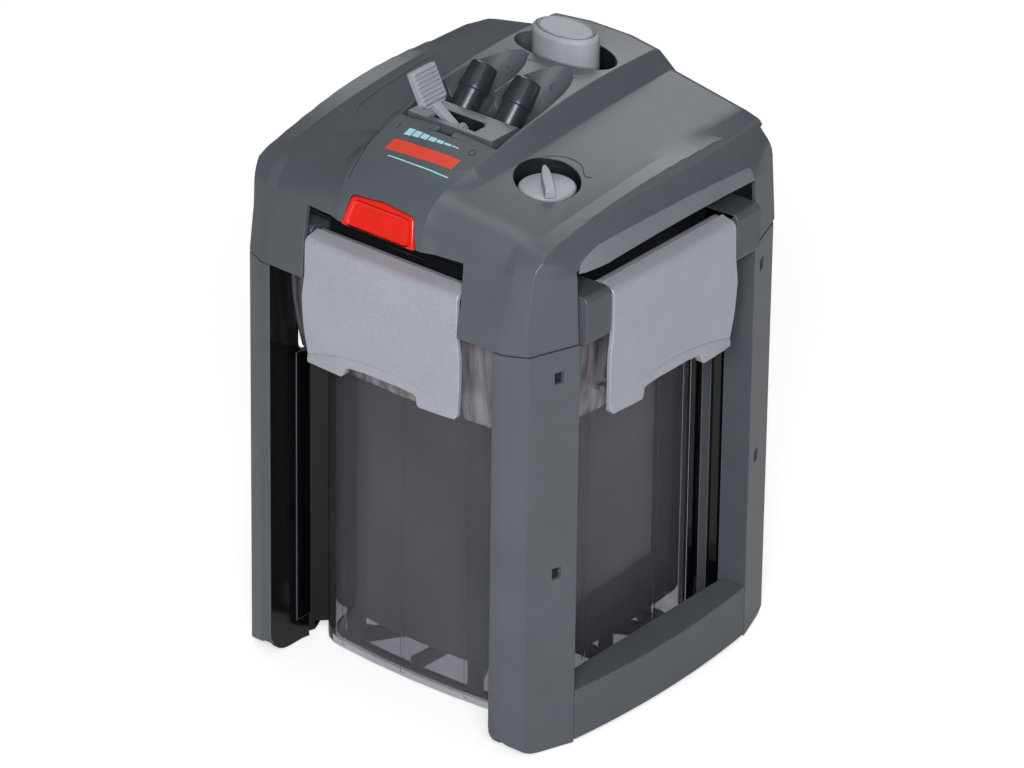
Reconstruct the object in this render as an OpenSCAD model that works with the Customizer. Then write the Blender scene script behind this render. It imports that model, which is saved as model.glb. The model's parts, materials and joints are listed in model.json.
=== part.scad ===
// External canister filter: a clear tub with a flared collar, four corner posts and
// two base bars around it, and a pump head with a snap-on cover and four clips on top.
// Millimetres. X to the right, -Y to the front, Z up, origin on the floor in the middle.

/* [Plan outline] */
// Half width of the head where its sides bulge most
bulge_x = 120.3; // [117:0.1:124]
// Radius of that bulge, seen from above
bulge_r = 900; // [700:10:1400]
// Half spacing of the sharp corners, left to right
corner_x = 103.4; // [102:0.1:105]
// Half spacing of the sharp corners, front to back
corner_y = 112.3; // [111:0.1:113.5]
// Half width at a post's side edge
post_side_x = 114.9; // [113:0.1:116]
// Half depth at a post's side edge
post_side_y = 80.4; // [79:0.1:81.5]
// Half width at the facet between front face and corner
facet_x = 89.6; // [87:0.1:92]
// Half depth of the front face at that facet
face_y = 119.4; // [118:0.1:120]
// Half width at a post's front inner edge
post_front_x = 82.3; // [80:0.1:84]

/* [Heights] */
// Floor to the joint between posts and cover
seam_z = 260.5; // [256:0.5:264]
// Gap in that joint
seam_gap = 0.8; // [0.4:0.1:1.2]
// Floor to the top of the collar
collar_top = 250; // [248:0.5:252]
// Height of the rubber feet
foot_h = 2; // [1.5:0.1:4]

/* [Cover] */
// Wall of the cover
cover_wall = 3; // [2.4:0.1:3.4]
// Height of the hard edge at the front corner of the cover
hard_front_z = 317.5; // [315:0.5:319]
// Height of the hard edge at the crown
hard_crown_z = 338.5; // [336:0.5:340]
// Height of the hard edge at the rear corner
hard_rear_z = 329.5; // [327:0.5:331]
// Height of the shoulder ridge at the front
ridge_front_z = 323; // [321:0.5:324]
// Height of the shoulder ridge at the crown
ridge_crown_z = 336.5; // [335:0.5:338]
// Height of the shoulder ridge at the rear
ridge_rear_z = 339.5; // [338:0.5:343]
// Distance of the shoulder ridge's rear corner from the middle
ridge_rear_y = 93; // [90:0.5:98]
// Height of the raised spine at its front corner
spine_front_z = 333; // [331:0.5:335]
// Height of the spine at the crown
spine_crown_z = 362.3; // [361:0.5:364]
// Height of the spine at its rear corner
spine_rear_z = 361.2; // [360:0.2:362]
// Distance of the spine's rear corner from the middle, at its sides
spine_rear_y = 85.5; // [83:0.5:92]
// Half width of the spine's flat top at the front
spine_front_w = 30.5; // [29:0.1:32]
// Half width of the spine's flat top behind the crown
spine_rear_w = 37.4; // [37:0.1:39]
// Rise of the spine's top in its middle
spine_crown = 2.2; // [0.5:0.1:4]
// How far the spine's sloping sides reach beyond its top
spine_flare = 8; // [7:0.1:10]

/* [Clip openings] */
// Half width of the front and rear openings
hood_w = 57.2; // [57:0.1:58.5]
// Half width of the side openings
side_hood_w = 81.5; // [80.5:0.1:82]
// Height of the openings' upper edge
hood_z = 305.4; // [304.5:0.1:307]
// Rise of the side openings' upper edge in its middle
hood_arch = 3.4; // [0.5:0.1:5]

/* [Canister] */
// Half width of the tub
can_x = 84; // [82:0.1:84.5]
// Half depth of the tub
can_y = 88; // [87:0.1:89]
// Corner radius of the tub
can_r = 24; // [20:0.5:28]
// Wall of the tub
can_wall = 2.6; // [2:0.1:3]
// How far the upright ribs stand proud of the tub's walls
can_rib = 0.8; // [0.4:0.1:1]
// Height at which the collar starts to flare
flare_z = 190; // [186:0.5:192]
// How far the collar stands out at its foot
collar_foot = 12.8; // [12:0.1:13.5]
// How far the collar stands out at its top
collar_out = 18.6; // [18:0.1:19.5]
// Share of that flare by which the collar's corner radius grows
collar_ease = 0.3; // [0.2:0.05:1]
// Height of the ledges that the clips' teeth hook under
catch_z = 214; // [212:0.1:216]
// Reach of a ledge from the collar
catch_d = 11; // [9:0.1:12]

/* [Posts and bars] */
// Wall of a post
post_wall = 3; // [2.5:0.1:3.5]
// Depth of a post's side return
post_return = 21; // [15:0.5:24]
// Depth of the guide wall beside the tub, from the post's front face
guide_d = 47.5; // [30:0.5:48]
// Radius of the guide wall's rounded lower corner
guide_r = 13; // [6:0.5:16]
// Radius of the rounded lower front edge of a post
post_toe_r = 16; // [8:0.5:20]
// Height of the posts' and bars' lower ends above the floor
post_low = 1; // [0.5:0.1:2]
// Upper edge of a base bar
bar_top = 35.3; // [30:0.1:40]
// Width of a base bar, from its outer face inwards
bar_w = 20; // [16:0.5:22]
// Gap between a bar and its posts
bar_gap = 0.6; // [0.4:0.1:1]
// Width and height of the small windows in the posts' sides
window_w = 6; // [4:0.1:8]
window_h = 7; // [5:0.1:9]

/* [Clips] */
// Distance of a clip's hinge axis from the middle of the filter
clip_axis_d = 106; // [105.5:0.1:106.5]
// Height of the hinge axis
clip_axis_z = 283; // [282:0.1:284]
// Distance of the clip's face from the middle of the filter
clip_face_d = 119; // [118.4:0.1:119.6]
// Lower edge of the clip
clip_low_z = 206; // [204:0.1:207.5]
// Half width of the clip below the seam
clip_w = 58.4; // [57.8:0.1:59]
// Half width of the clip at its fold
clip_fold_w = 56.2; // [55:0.1:56.4]
// Thickness of the clip's wall
clip_t = 3; // [2.6:0.1:3.4]
// Half width of the finger notch
notch_w = 26; // [22:0.5:27]
// Height of the finger notch
notch_h = 6.5; // [5:0.1:8]
// Radius of the hinge pin
clip_pin_r = 2; // [1.6:0.1:2.4]
// Radius of the hinge barrel
barrel_r = 4.4; // [4:0.1:4.6]
// Clearance between a hinge pin and what turns on it
pin_fit = 0.05; // [0.03:0.01:0.1]

/* [Adapter and lever] */
// Half width of the adapter block
adapter_w = 31; // [29:0.1:32]
// Front of the adapter block, from the middle
adapter_front = 58.6; // [57:0.1:59]
// Rear of the adapter block, from the middle
adapter_back = 19.5; // [19:0.1:20]
// Upper face of the adapter block
adapter_top = 352; // [350:0.1:353]
// Underside of the adapter block
adapter_low = 318.3; // [317:0.1:320]
// Half spacing of the two hose spigots
spigot_x = 16; // [15.5:0.1:17]
// Backward tilt of the spigots
spigot_tilt = 43; // [41:0.5:45]
// Distance of a spigot's foot from the middle, to the front
spigot_foot_y = 27.6; // [27:0.1:28.2]
// Height of a spigot's foot
spigot_foot_z = 345.2; // [344.6:0.1:345.8]
// Length of a spigot
spigot_l = 29.6; // [27:0.2:31]
// Length of a spigot's narrow neck
neck_l = 13.2; // [12:0.1:14]
// Radius of the neck
neck_r = 8.4; // [8:0.1:8.6]
// Radius of the barb at its widest
barb_r = 9.4; // [9:0.1:9.6]
// Length of the straight land at the barb's widest place
barb_land = 2; // [1:0.1:4]
// Radius of the barb at its tip
barb_tip_r = 8.2; // [7.8:0.1:8.4]
// Radius of the water way in a spigot
way_r = 5; // [4.5:0.1:5.4]
// Height of the lever's axis
lever_z = 345.5; // [344.5:0.1:346]
// Distance of the lever's middle from the middle of the filter, to the front
lever_y = 50; // [49.5:0.1:50.5]
// Angle of the lever's stem from upright, at both ends of its travel
lever_angle = 58; // [50:0.5:60]
// Length of the lever's stem from its axis
stem_l = 22; // [20:0.5:24]
// Angle between stem and paddle
paddle_crank = 31; // [25:0.5:33]
// Length of the lever's paddle
paddle_l = 22; // [18:0.5:24]
// Width of the lever's paddle
paddle_w = 21; // [16:0.5:22]
// Number of ribs across the paddle
paddle_ribs = 8; // [5:1:10]
// Pitch radius of the lever's pinion
pinion_r = 4.6; // [4.4:0.05:4.7]

/* [Knob] */
// Place of the knob, to the right
knob_x = 64.6; // [63:0.1:66]
// Place of the knob, to the front
knob_y = 50; // [48:0.1:53]
// Height of the knob's face
knob_top = 332.4; // [331:0.1:333]
// Radius of the knob
knob_r = 16.6; // [14:0.1:17]
// Gap around the knob in its well
knob_gap = 2.4; // [1.5:0.1:3]
// Radius of the knob's stem
knob_stem_r = 4; // [3:0.1:5]

/* [Primer] */
// Place of the primer button, to the rear
primer_y = 46; // [44:0.1:47]
// Height of the primer button's face
primer_top = 376; // [372:0.5:378]
// Half length of the oval primer button, left to right
primer_a = 22.2; // [19:0.1:24]
// Half width of the oval primer button, front to back
primer_b = 15; // [14:0.1:16]
// Half length of the oval well, left to right
well_a = 35; // [31:0.1:35.5]
// Half width of the oval well, front to back
well_b = 17.6; // [17:0.1:18.5]
// Stroke of the primer button
primer_stroke = 12; // [8:0.5:13]

/* [Red button] */
// Half width of the button's lower edge
red_low_w = 26.4; // [24:0.1:27]
// Half width of the button's upper edge
red_top_w = 22.8; // [20:0.1:23.5]
// Height of the button along its face
red_h = 19; // [16:0.1:20]
// Backward tilt of its face
red_tilt = 18; // [16:0.5:19]
// Gap around the button
red_gap = 0.5; // [0.4:0.05:0.8]

/* [Inside] */
// Lower face of the lowest basket
stack_z = 29; // [27:0.5:30]
// Height of one basket
basket_h = 58.5; // [56:0.5:59]
// Number of wire-like bars across a basket's floor
floor_bars = 11; // [7:1:15]
// Wall of a basket
basket_wall = 1.8; // [1.4:0.1:2.4]
// Gap between the baskets and the tub
basket_gap = 1; // [0.6:0.1:1.5]
// Radius of the motor block
motor_r = 31; // [28:0.5:32]
// Radius of the rotor magnet
magnet_r = 9; // [8:0.1:9.4]
// Number of impeller blades
blades = 7; // [5:1:9]

/* [Hidden] */

$fn = 64;
eps = 0.01;
face_gap = 0.3;              // rest gap between pieces on different bodies
side_lean = 2.2;             // inward lean of the cover's corners
dark = [0.38, 0.41, 0.43];
black = [0.13, 0.14, 0.15];
silver = [0.66, 0.67, 0.71];
pale = [0.7, 0.71, 0.74];
smoke = [0.3, 0.3, 0.32, 0.5];
red = [0.93, 0.2, 0.13];
rubber = [0.1, 0.1, 0.1];

// ---------- helpers ----------

function unit(v) = v / norm(v);
function mix(a, b, t) = a + (b - a) * t;
function clamp01(t) = max(0, min(1, t));

// Arc of n + 1 points that rounds the corner b between a and c
function fillet(a, b, c, r, n) =
    let (u = unit(a - b), v = unit(c - b), half = acos(u * v) / 2)
    let (mid = b + unit(u + v) * r / sin(half))
    let (p = b + u * r / tan(half) - mid, q = b + v * r / tan(half) - mid)
    let (a0 = atan2(p[1], p[0]), turn = (atan2(q[1], q[0]) - a0 + 540) % 360 - 180)
    [for (i = [0:n]) mid + r * [cos(a0 + turn * i / n), sin(a0 + turn * i / n)]];

// Open outline through pts, its inner corners rounded by the radii rs in ns steps
function rounded(pts, rs, ns) =
    let (last = len(pts) - 1)
    concat([pts[0]],
        [for (i = [1:last - 1]) for (p = fillet(pts[i - 1], pts[i], pts[i + 1],
            rs[i - 1], ns[i - 1])) p],
        [pts[last]]);

// Closed outline through pts, every corner rounded by r
function rounded_loop(pts, r, n) =
    let (k = len(pts))
    [for (i = [0:k - 1]) for (p = fillet(pts[(i + k - 1) % k], pts[i], pts[(i + 1) % k],
        r, n)) p];

// Rounded rectangle with gently bowed sides: half sizes hx, hy and corner radius r
bow = 6.5;
function bow_ring(hx, hy, r, n = 5, m = 3) =
    let (t = tan(bow) / 2, a = hx - r * (sin(bow) * t + cos(bow)))
    let (b = hy - r * (sin(bow) * t + cos(bow)))
    let (cx = (a - t * b) / (1 - t * t), cy = (b - t * a) / (1 - t * t))
    let (xe = cx + r * cos(bow), ye = cy + r * sin(bow))
    let (xt = cx + r * sin(bow), yt = cy + r * cos(bow))
    let (quarter = concat(
        [for (i = [1:m]) let (y = ye * (2 * i / (m + 1) - 1)) [hx - (hx - xe) * pow(y / ye, 2), y]],
        [for (i = [0:n]) let (g = mix(bow, 90 - bow, i / n)) [cx + r * cos(g), cy + r * sin(g)]],
        [for (i = [1:m]) let (x = xt * (1 - 2 * i / (m + 1))) [x, hy - (hy - yt) * pow(x / xt, 2)]],
        [for (i = [0:n]) let (g = mix(90 + bow, 180 - bow, i / n)) [-cx + r * cos(g), cy + r * sin(g)]]))
    concat(quarter, [for (p = quarter) -p]);

module bow_prism(hx, hy, r, z0, z1) {
    translate([0, 0, z0])
        linear_extrude(z1 - z0)
            polygon(bow_ring(hx, hy, r));
}

function lift(ring, z) = [for (p = ring) [p[0], p[1], z]];

// Solid through a stack of rings of equal length
module skin(rings) {
    n = len(rings[0]);
    m = len(rings);
    polyhedron(
        points = [for (r = rings) for (p = r) p],
        faces = concat(
            [[for (i = [0:n - 1]) i]],
            [[for (i = [n - 1:-1:0]) (m - 1) * n + i]],
            [for (j = [0:m - 2]) for (i = [0:n - 1]) [j * n + i, (j + 1) * n + i, j * n + (i + 1) % n]],
            [for (j = [0:m - 2]) for (i = [0:n - 1])
                [j * n + (i + 1) % n, (j + 1) * n + i, (j + 1) * n + (i + 1) % n]]));
}

module box(lo, hi) {
    translate(lo)
        cube(hi - lo);
}

module tube(r, bore, z0, z1) {
    translate([0, 0, z0])
        difference() {
            cylinder(r = r, h = z1 - z0);
            translate([0, 0, -1])
                cylinder(r = bore, h = z1 - z0 + 2);
        }
}

module rod(r, z0, z1) {
    translate([0, 0, z0])
        cylinder(r = r, h = z1 - z0);
}

module mirror_xy() {
    for (mx = [0, 1])
        for (my = [0, 1])
            mirror([mx, 0, 0])
                mirror([0, my, 0])
                    children();
}

// ---------- cover ----------
lean_y = face_y + 0.4;                 // half depth of the spine and shoulders at the seam
crown_y = -15;                         // place of the crown, front to back
crown_reach = 66;                      // length of the crown's arc to either side
knee_z = hood_z + 1;                   // where the rear wall starts to lean forwards
knee_in = 3.5;
knee_r = 24;

// Arc by its reach along the outline, so that neighbouring lines round at the same places
function reach_r(a, b, c, reach) = let (half = acos(unit(a - b) * unit(c - b)) / 2) reach * tan(half);

// Each line over the cover runs from the front seam over the top to the rear seam,
// as [distance to the rear, height]. t insets it by the wall.
function over(front, low, top, crown, rear_y, rear, back, front_r, rear_r, t) =
    let (a = [-low + t, top - t], b = [crown_y, crown - t], c = [rear_y - t, rear - t])
    rounded([[-front + t, seam_z - t], a, b, c, [back - knee_in - t, knee_z], [back - t, seam_z - t]],
        [front_r - t, reach_r(a, b, c, crown_reach), rear_r - t, knee_r], [7, 9, 4, 2]);

function hard_line(t) = over(corner_y, corner_y - 5, hard_front_z, hard_crown_z,
    103, hard_rear_z, corner_y, 17, 12, t);
function facet_line(t) = over(face_y, face_y - 9.2, ridge_front_z - 3, ridge_crown_z - 1,
    ridge_rear_y + 2, ridge_rear_z - 2.5, face_y, 24, 11, t);
function ridge_line(t) = over(lean_y, lean_y - 11.3, ridge_front_z, ridge_crown_z,
    ridge_rear_y, ridge_rear_z, lean_y, 28, 12, t);
function foot_line(t) = over(lean_y + 1.2, lean_y - 4.8, spine_front_z, spine_crown_z - 17.8,
    ridge_rear_y - 3, spine_rear_z - 11.9, lean_y, 24, 10, t);
function spine_line(t) = over(lean_y + 4.4, lean_y - 2.3, spine_front_z, spine_crown_z,
    spine_rear_y, spine_rear_z, lean_y + 0.7, 28, 9, t);
function crown_line(t) = over(lean_y + 4.8, lean_y - 1.9, spine_front_z + 0.6, spine_crown_z + spine_crown,
    spine_rear_y + 4, spine_rear_z + spine_crown * 0.3, lean_y + 0.9, 28, 9, t);

// Half widths of the lines grow behind the front face
function widen(y, a, b) = a + (b - a) * sin(90 * clamp01((y + lean_y + 1.2) / 100));
function column(line, a, b) = [for (p = line) [widen(p[0], a, b), p[0], p[1]]];
function mirrored(col) = [for (p = col) [-p[0], p[1], p[2]]];

// The shoulder goes on straight past the corner, to be cut by the side walls
function past(inner, outer, k) = [for (i = [0:len(inner) - 1]) mix(inner[i], outer[i], k)];

module top_form(t) {
    facet = column(facet_line(t), facet_x, facet_x + 5);
    hard = column(hard_line(t), corner_x + 0.6, corner_x + 2.6);
    half = [
        past(facet, hard, 2.6),
        facet,
        column(ridge_line(t), post_front_x, post_front_x + 6),
        column(foot_line(t), spine_front_w + spine_flare - t / 2, spine_rear_w + spine_flare - t / 2),
        column(spine_line(t), spine_front_w - t * 0.7, spine_rear_w - t * 0.7),
        column(crown_line(t), spine_front_w / 2.5, spine_rear_w / 2.5)
    ];
    skin(concat(half, [for (i = [5:-1:0]) mirrored(half[i])]));
}

// Side walls: the wall's profile swept about an axis far away
wall_rise = hood_z - seam_z;
side_profile = [
    [0, -10], [0, 0], [-2, wall_rise - 15.4], [-4.6, wall_rise + 0.6], [-10.6, wall_rise + 12.6],
    [-13.8, wall_rise + 22.6], [-15.2, wall_rise + 40], [-15.2, wall_rise + 70]
];

module side_sweep(t) {
    reach = 3 * bulge_x;
    translate([bulge_x - bulge_r, 0, seam_z])
        rotate_extrude($fn = 180)
            polygon(concat(
                [[bulge_r - reach, side_profile[0][1]]],
                [for (p = side_profile) [bulge_r + p[0] - t, p[1]]],
                [[bulge_r - reach, side_profile[7][1]]]));
}

module side_form(t) {
    intersection() {
        side_sweep(t);
        mirror([1, 0, 0])
            side_sweep(t);
    }
}

corner_angle = atan2(post_side_x - corner_x, corner_y - post_side_y);

// Everything outside the leaning plane through a corner and the post's side edge
module corner_cut(t) {
    translate([corner_x, -corner_y, seam_z])
        rotate([0, 0, -corner_angle])
            rotate([0, -side_lean, 0])
                translate([-t, -60, -20])
                    cube([80, 180, 140]);
}

module cover_form(t) {
    difference() {
        intersection() {
            top_form(t);
            side_form(t);
        }
        mirror_xy()
            corner_cut(t);
    }
}

module oval(a, b) {
    polygon([for (i = [0:39]) [a * cos(i * 9), b * sin(i * 9)]]);
}

arch_r = (side_hood_w * side_hood_w + hood_arch * hood_arch) / (2 * hood_arch);
sky = 400;                             // above everything, for cuts that are open upwards

// Openings that the clips swing in
module hood_cuts() {
    for (s = [-1, 1])
        translate([0, s * (clip_axis_d + 8), 0])
            box([-hood_w, -16, seam_z - 5], [hood_w, 16, hood_z]);
    for (s = [-1, 1])
        translate([s * (clip_axis_d + 8), 0, 0])
            rotate([90, 0, 90])
                linear_extrude(32, center = true)
                    polygon(concat([[-side_hood_w, seam_z - 5], [side_hood_w, seam_z - 5]],
                        [for (i = [0:10]) let (y = side_hood_w * (1 - i / 5))
                            [y, hood_z + hood_arch - arch_r + sqrt(arch_r * arch_r - y * y)]]));
}

pit_gap = 1;                           // room in front of the adapter
pit_side_gap = 4.3;                    // room beside it
pit_w = adapter_w + pit_side_gap;
pit_front = adapter_front + pit_gap;
pit_floor = adapter_low - face_gap;
pit_back = adapter_back - face_gap;
scoop_r = pit_w / 2;
scoop_tilt = 26.5;
scoop_z = spigot_foot_z - 5.6;
scoop_lead = 14;                       // how far the ramps reach forward into the pit
notch_half = 5.5;

// Room for the adapter: a box with two scooped ramps behind it for the hoses
module pit(d) {
    box([-pit_w - d, -pit_front - d, pit_floor - d], [pit_w + d, -pit_back + d, sky]);
    for (s = [-1, 1])
        translate([s * scoop_r, -pit_back, scoop_z])
            rotate([scoop_tilt - 90, 0, 0])
                translate([0, -scoop_r, -scoop_lead])
                    cylinder(r = scoop_r + d, h = 90);
}

cup_t = 2.2;                           // wall of the cups and pits in the cover
knob_well_r = knob_r + knob_gap;
knob_floor = knob_top - 11.4;
button_low = primer_top - 27.5;
well_floor = button_low - primer_stroke - 2;

module at_knob() {
    translate([knob_x, -knob_y, 0])
        children();
}

module at_primer() {
    translate([0, primer_y, 0])
        children();
}

module at_red() {
    translate([0, -lean_y - 2, hood_z + 0.4])
        rotate([-red_tilt, 0, 0])
            children();
}

// Outline of the red button in its own plane: width along X, height along Y
function red_outline(c) =
    let (low = [red_low_w + c, -c], top = [red_top_w + c, red_h - 1 + c], mid = [0, red_h + c + 1])
    let (round = fillet(low, top, mid, 4, 4))
    concat([[-low[0], -c], low], round, [mid],
        [for (i = [len(round) - 1:-1:0]) [-round[i][0], round[i][1]]]);

red_depth = 11;                        // depth of the red button's guide

module red_block(c, deep, proud) {
    at_red()
        rotate([90, 0, 0])
            translate([0, 0, -deep])
                linear_extrude(deep + proud)
                    polygon(red_outline(c));
}

screw_xy = 79;
screw_r = 1.8;
boss_r = 4.4;
boss_z = collar_top + 12;

module at_screws() {
    mirror_xy()
        translate([screw_xy, screw_xy, 0])
            children();
}

module cover_inside() {
    at_knob()
        rod(knob_well_r + cup_t, knob_floor - cup_t, sky);
    at_primer()
        translate([0, 0, well_floor - cup_t])
            linear_extrude(80)
                oval(well_a + cup_t, well_b + cup_t);
    pit(cup_t);
    at_screws()
        tube(boss_r, screw_r - 0.3, boss_z, spine_rear_z);
    difference() {
        red_block(red_gap + cup_t, red_depth, 5);
        translate([0, -lean_y, 0])
            box([-60, -10, seam_z], [60, 40, hood_z + 0.2]);
    }
}

module head_cover() {
    color(dark)
        difference() {
            union() {
                difference() {
                    cover_form(0);
                    cover_form(cover_wall);
                    hood_cuts();
                }
                intersection() {
                    cover_form(0.5);
                    cover_inside();
                }
            }
            at_knob() {
                rod(knob_well_r, knob_floor, sky);
                rod(knob_stem_r + 0.2, knob_floor - 5, sky);
            }
            at_primer() {
                translate([0, 0, well_floor])
                    linear_extrude(80)
                        oval(well_a, well_b);
                rod(stem_r + 0.2, well_floor - 5, sky);
            }
            pit(0);
            for (s = [-1, 1])
                translate([s * spigot_x, -nozzle_y, 0])
                    rod(nozzle_r + 1.2, pit_floor - 5, pit_floor + 5);
            red_block(red_gap, red_depth + 5, 8);
            box([-notch_half, -pit_front - 4.5, adapter_low + 22], [notch_half, -pit_front + 1, sky]);
            at_gland()
                rod(gland_r + 0.1, -20, 30);
        }
}

// ---------- pump head case ----------
case_wall = 4;
case_floor = 5;
case_top = clip_axis_z + 4;
lug_in = hood_w + 0.6;                 // hinge lugs, from the clip's edge outwards
lug_out = 78;
lug_reach = 5.5;                       // how far a lug reaches past the hinge axis
side_lug_out = 79.6;                   // the lugs in the wide side openings show, flush with the clips
side_lug_reach = 12.5;
tub_x = 96;
tub_y = 98;
tub_r = 26;
nozzle_r = 8;
nozzle_y = spigot_foot_y + 4.4;
nozzle_fit = 0.3;
tower_wall = 2.3;
tower_top = 306;
plug_gap = 0.6;                        // between the case's plug and the collar
plug_wall = 6.4;
plug_h = 10;
motor_x = -52;
motor_y = 8;
well_r = magnet_r + 1.8;
well_wall = 1.6;
bush_r = 4;
bush_h = 4;
bush_z = 285;
chamber_r = 24;
chamber_wall = 3;
chamber_low = collar_top - plug_h;
spool_r = 8.5;
spool_low = collar_top + case_floor + 2.4;
spool_top = 298;
stem_r = 5;
piston_r = 13;
bore_fit = 0.1;
gland_r = 6;
pipe_x = 52;
pipe_y = 72.5;
pipe_r = 7;
cyl_wall = 2.6;
out = collar_out - can_wall;           // the collar's inner face, from the tub's outer one
function flare_r(flare) = can_r + collar_ease * flare;

module at_motor() {
    translate([motor_x, motor_y, 0])
        children();
}

// Cable outlet in the cover's rear wall, square to that wall
gland_x = 72;
gland_z = 297;
module at_gland() {
    translate([gland_x, lean_y - knee_in * (gland_z - seam_z) / (knee_z - seam_z), gland_z])
        rotate([-90 + atan2(knee_in, knee_z - seam_z), 0, 0])
            children();
}

// One side of the head: children are drawn for the front, then turned to the others
module on_side(turn) {
    rotate([0, 0, turn])
        children();
}

module on_sides() {
    for (turn = [0:90:270])
        on_side(turn)
            children();
}

module along_hinge(r, half) {
    translate([0, -clip_axis_d, clip_axis_z])
        rotate([0, 90, 0])
            cylinder(r = r, h = 2 * half, center = true);
}

module hinge_lugs(reach, out, rise) {
    back = -tub_y + case_wall + 2 * rise;
    front = -clip_axis_d - reach;
    low = collar_top + case_floor + rise;
    for (s = [0, 1])
        mirror([s, 0, 0])
            rotate([90, 0, 90])
                translate([0, 0, lug_in])
                    linear_extrude(out - lug_in)
                        polygon(rounded_loop([[back, low], [front, low], [front, case_top + 2],
                            [back, case_top + 2]], 4, 4));
}

// Dark roll above the clip, in three lengths on a rib of the tub
roll_r = 6;
roll_joint = 26.7;
roll_half = hood_w - 2;

module hinge_roll() {
    y = -clip_axis_d + 12;
    z = clip_axis_z + 13;
    for (span = [[-roll_half, -roll_joint - 0.6], [-roll_joint + 0.6, roll_joint - 0.6],
            [roll_joint + 0.6, roll_half]])
        translate([span[0], y, z])
            rotate([0, 90, 0])
                cylinder(r = roll_r, h = span[1] - span[0]);
    box([-roll_half, -tub_y + 0.5, case_top - 8], [roll_half, -tub_y + case_wall, z]);
}

module nozzle_towers() {
    for (s = [-1, 1])
        translate([s * spigot_x, -nozzle_y, 0])
            rod(nozzle_r + nozzle_fit + tower_wall, chamber_low, tower_top);
}

module pump_head_case() {
    color(black)
        difference() {
            union() {
                difference() {
                    bow_prism(can_x + out - plug_gap, can_y + out - plug_gap, flare_r(out),
                        collar_top - plug_h, collar_top + eps);
                    bow_prism(can_x + out - plug_wall, can_y + out - plug_wall, flare_r(out) - plug_wall,
                        collar_top - plug_h - 1, collar_top);
                }
                bow_prism(can_x + collar_out + 1, can_y + collar_out + 1, flare_r(collar_out), collar_top,
                    collar_top + case_floor);
                difference() {
                    bow_prism(tub_x, tub_y, tub_r, collar_top, case_top);
                    bow_prism(tub_x - case_wall, tub_y - case_wall, tub_r - case_wall,
                        collar_top + case_floor, case_top + 30);
                }
                on_sides()
                    hinge_roll();
                for (turn = [0, 180])
                    on_side(turn)
                        hinge_lugs(lug_reach, lug_out, 0);
                for (turn = [90, 270])
                    on_side(turn)
                        hinge_lugs(side_lug_reach, side_lug_out, 3.4);
                nozzle_towers();
                at_primer()
                    rod(piston_r + cyl_wall, collar_top, well_floor - cup_t - 1);
                at_knob()
                    rod(spool_r + cyl_wall, collar_top, spool_top + 2);
                at_motor() {
                    rod(well_r + well_wall, collar_top, bush_z + bush_h + 2);
                    rod(chamber_r + chamber_wall, chamber_low, collar_top + 1);
                }
                translate([pipe_x, pipe_y, 0])
                    rod(pipe_r + 3, collar_top - plug_h, collar_top + 1);
            }
            on_sides()
                along_hinge(clip_pin_r + pin_fit, lug_in + 6);
            for (s = [-1, 1])
                translate([s * spigot_x, -nozzle_y, 0])
                    rod(nozzle_r + nozzle_fit, chamber_low - 5, tower_top + 5);
            at_primer() {
                rod(piston_r + bore_fit, collar_top + case_floor + 2, sky);
                rod(3, collar_top - 20, sky);
            }
            at_knob()
                rod(spool_r + bore_fit, spool_low - 0.4, sky);
            at_motor() {
                rod(well_r, collar_top - 5, bush_z);
                rod(bush_r + 0.05, collar_top, bush_z + bush_h);
                rod(chamber_r, chamber_low - 5, collar_top - 2);
            }
            translate([pipe_x, pipe_y, 0]) {
                rod(pipe_r + 0.2, collar_top - 20, collar_top - 4);
                rod(pipe_r - 2, collar_top - 20, collar_top + 20);
            }
            at_screws()
                rod(screw_r + 0.2, collar_top - 20, sky);
            seal_groove();
        }
}

seal_z = collar_top - 7;
seal_h = 4;
seal_t = 3;

module seal_groove() {
    difference() {
        bow_prism(tub_x + 50, tub_y + 50, tub_r, seal_z, seal_z + seal_h);
        bow_prism(can_x + out - plug_gap - seal_t, can_y + out - plug_gap - seal_t,
            flare_r(out) - seal_t, seal_z - 1, seal_z + seal_h + 1);
    }
}

module seal_ring() {
    color(rubber)
        difference() {
            bow_prism(can_x + out - 0.25, can_y + out - 0.25, flare_r(out),
                seal_z + 0.1, seal_z + seal_h - 0.1);
            bow_prism(can_x + out - plug_gap - seal_t + 0.1, can_y + out - plug_gap - seal_t + 0.1,
                flare_r(out) - seal_t, seal_z - 1, seal_z + seal_h + 1);
        }
}

module cover_screws() {
    color(silver)
        at_screws() {
            rod(screw_r - 0.35, collar_top - 1, boss_z + 12);
            difference() {
                rod(3.4, collar_top - 3, collar_top - 0.1);
                rod(1.2, collar_top - 4, collar_top - 1.6, $fn = 6);
            }
        }
}

module cable_gland() {
    color(rubber)
        at_gland()
            difference() {
                union() {
                    rod(gland_r, -6, 0.4);
                    rod(gland_r + 2, 0.3, 3);
                }
                rod(3.2, -10, 10);
            }
}

// ---------- canister ----------

collar_rings = [
    [0, flare_z], [collar_foot - 1, flare_z + 5.5], [collar_foot, flare_z + 8],
    [mix(collar_foot, collar_out, 0.55), flare_z + 26], [mix(collar_foot, collar_out, 0.9), flare_z + 44],
    [collar_out, collar_top - 4], [collar_out, collar_top]
];

function can_ring(flare, z) = lift(bow_ring(can_x + flare, can_y + flare, flare_r(flare)), z);

module catches(turn, face) {
    on_side(turn)
        for (s = [-1, 1])
            box([s * 39 - 9, -face - catch_d, catch_z], [s * 39 + 9, -face + 5, catch_z + 3]);
}

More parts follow.
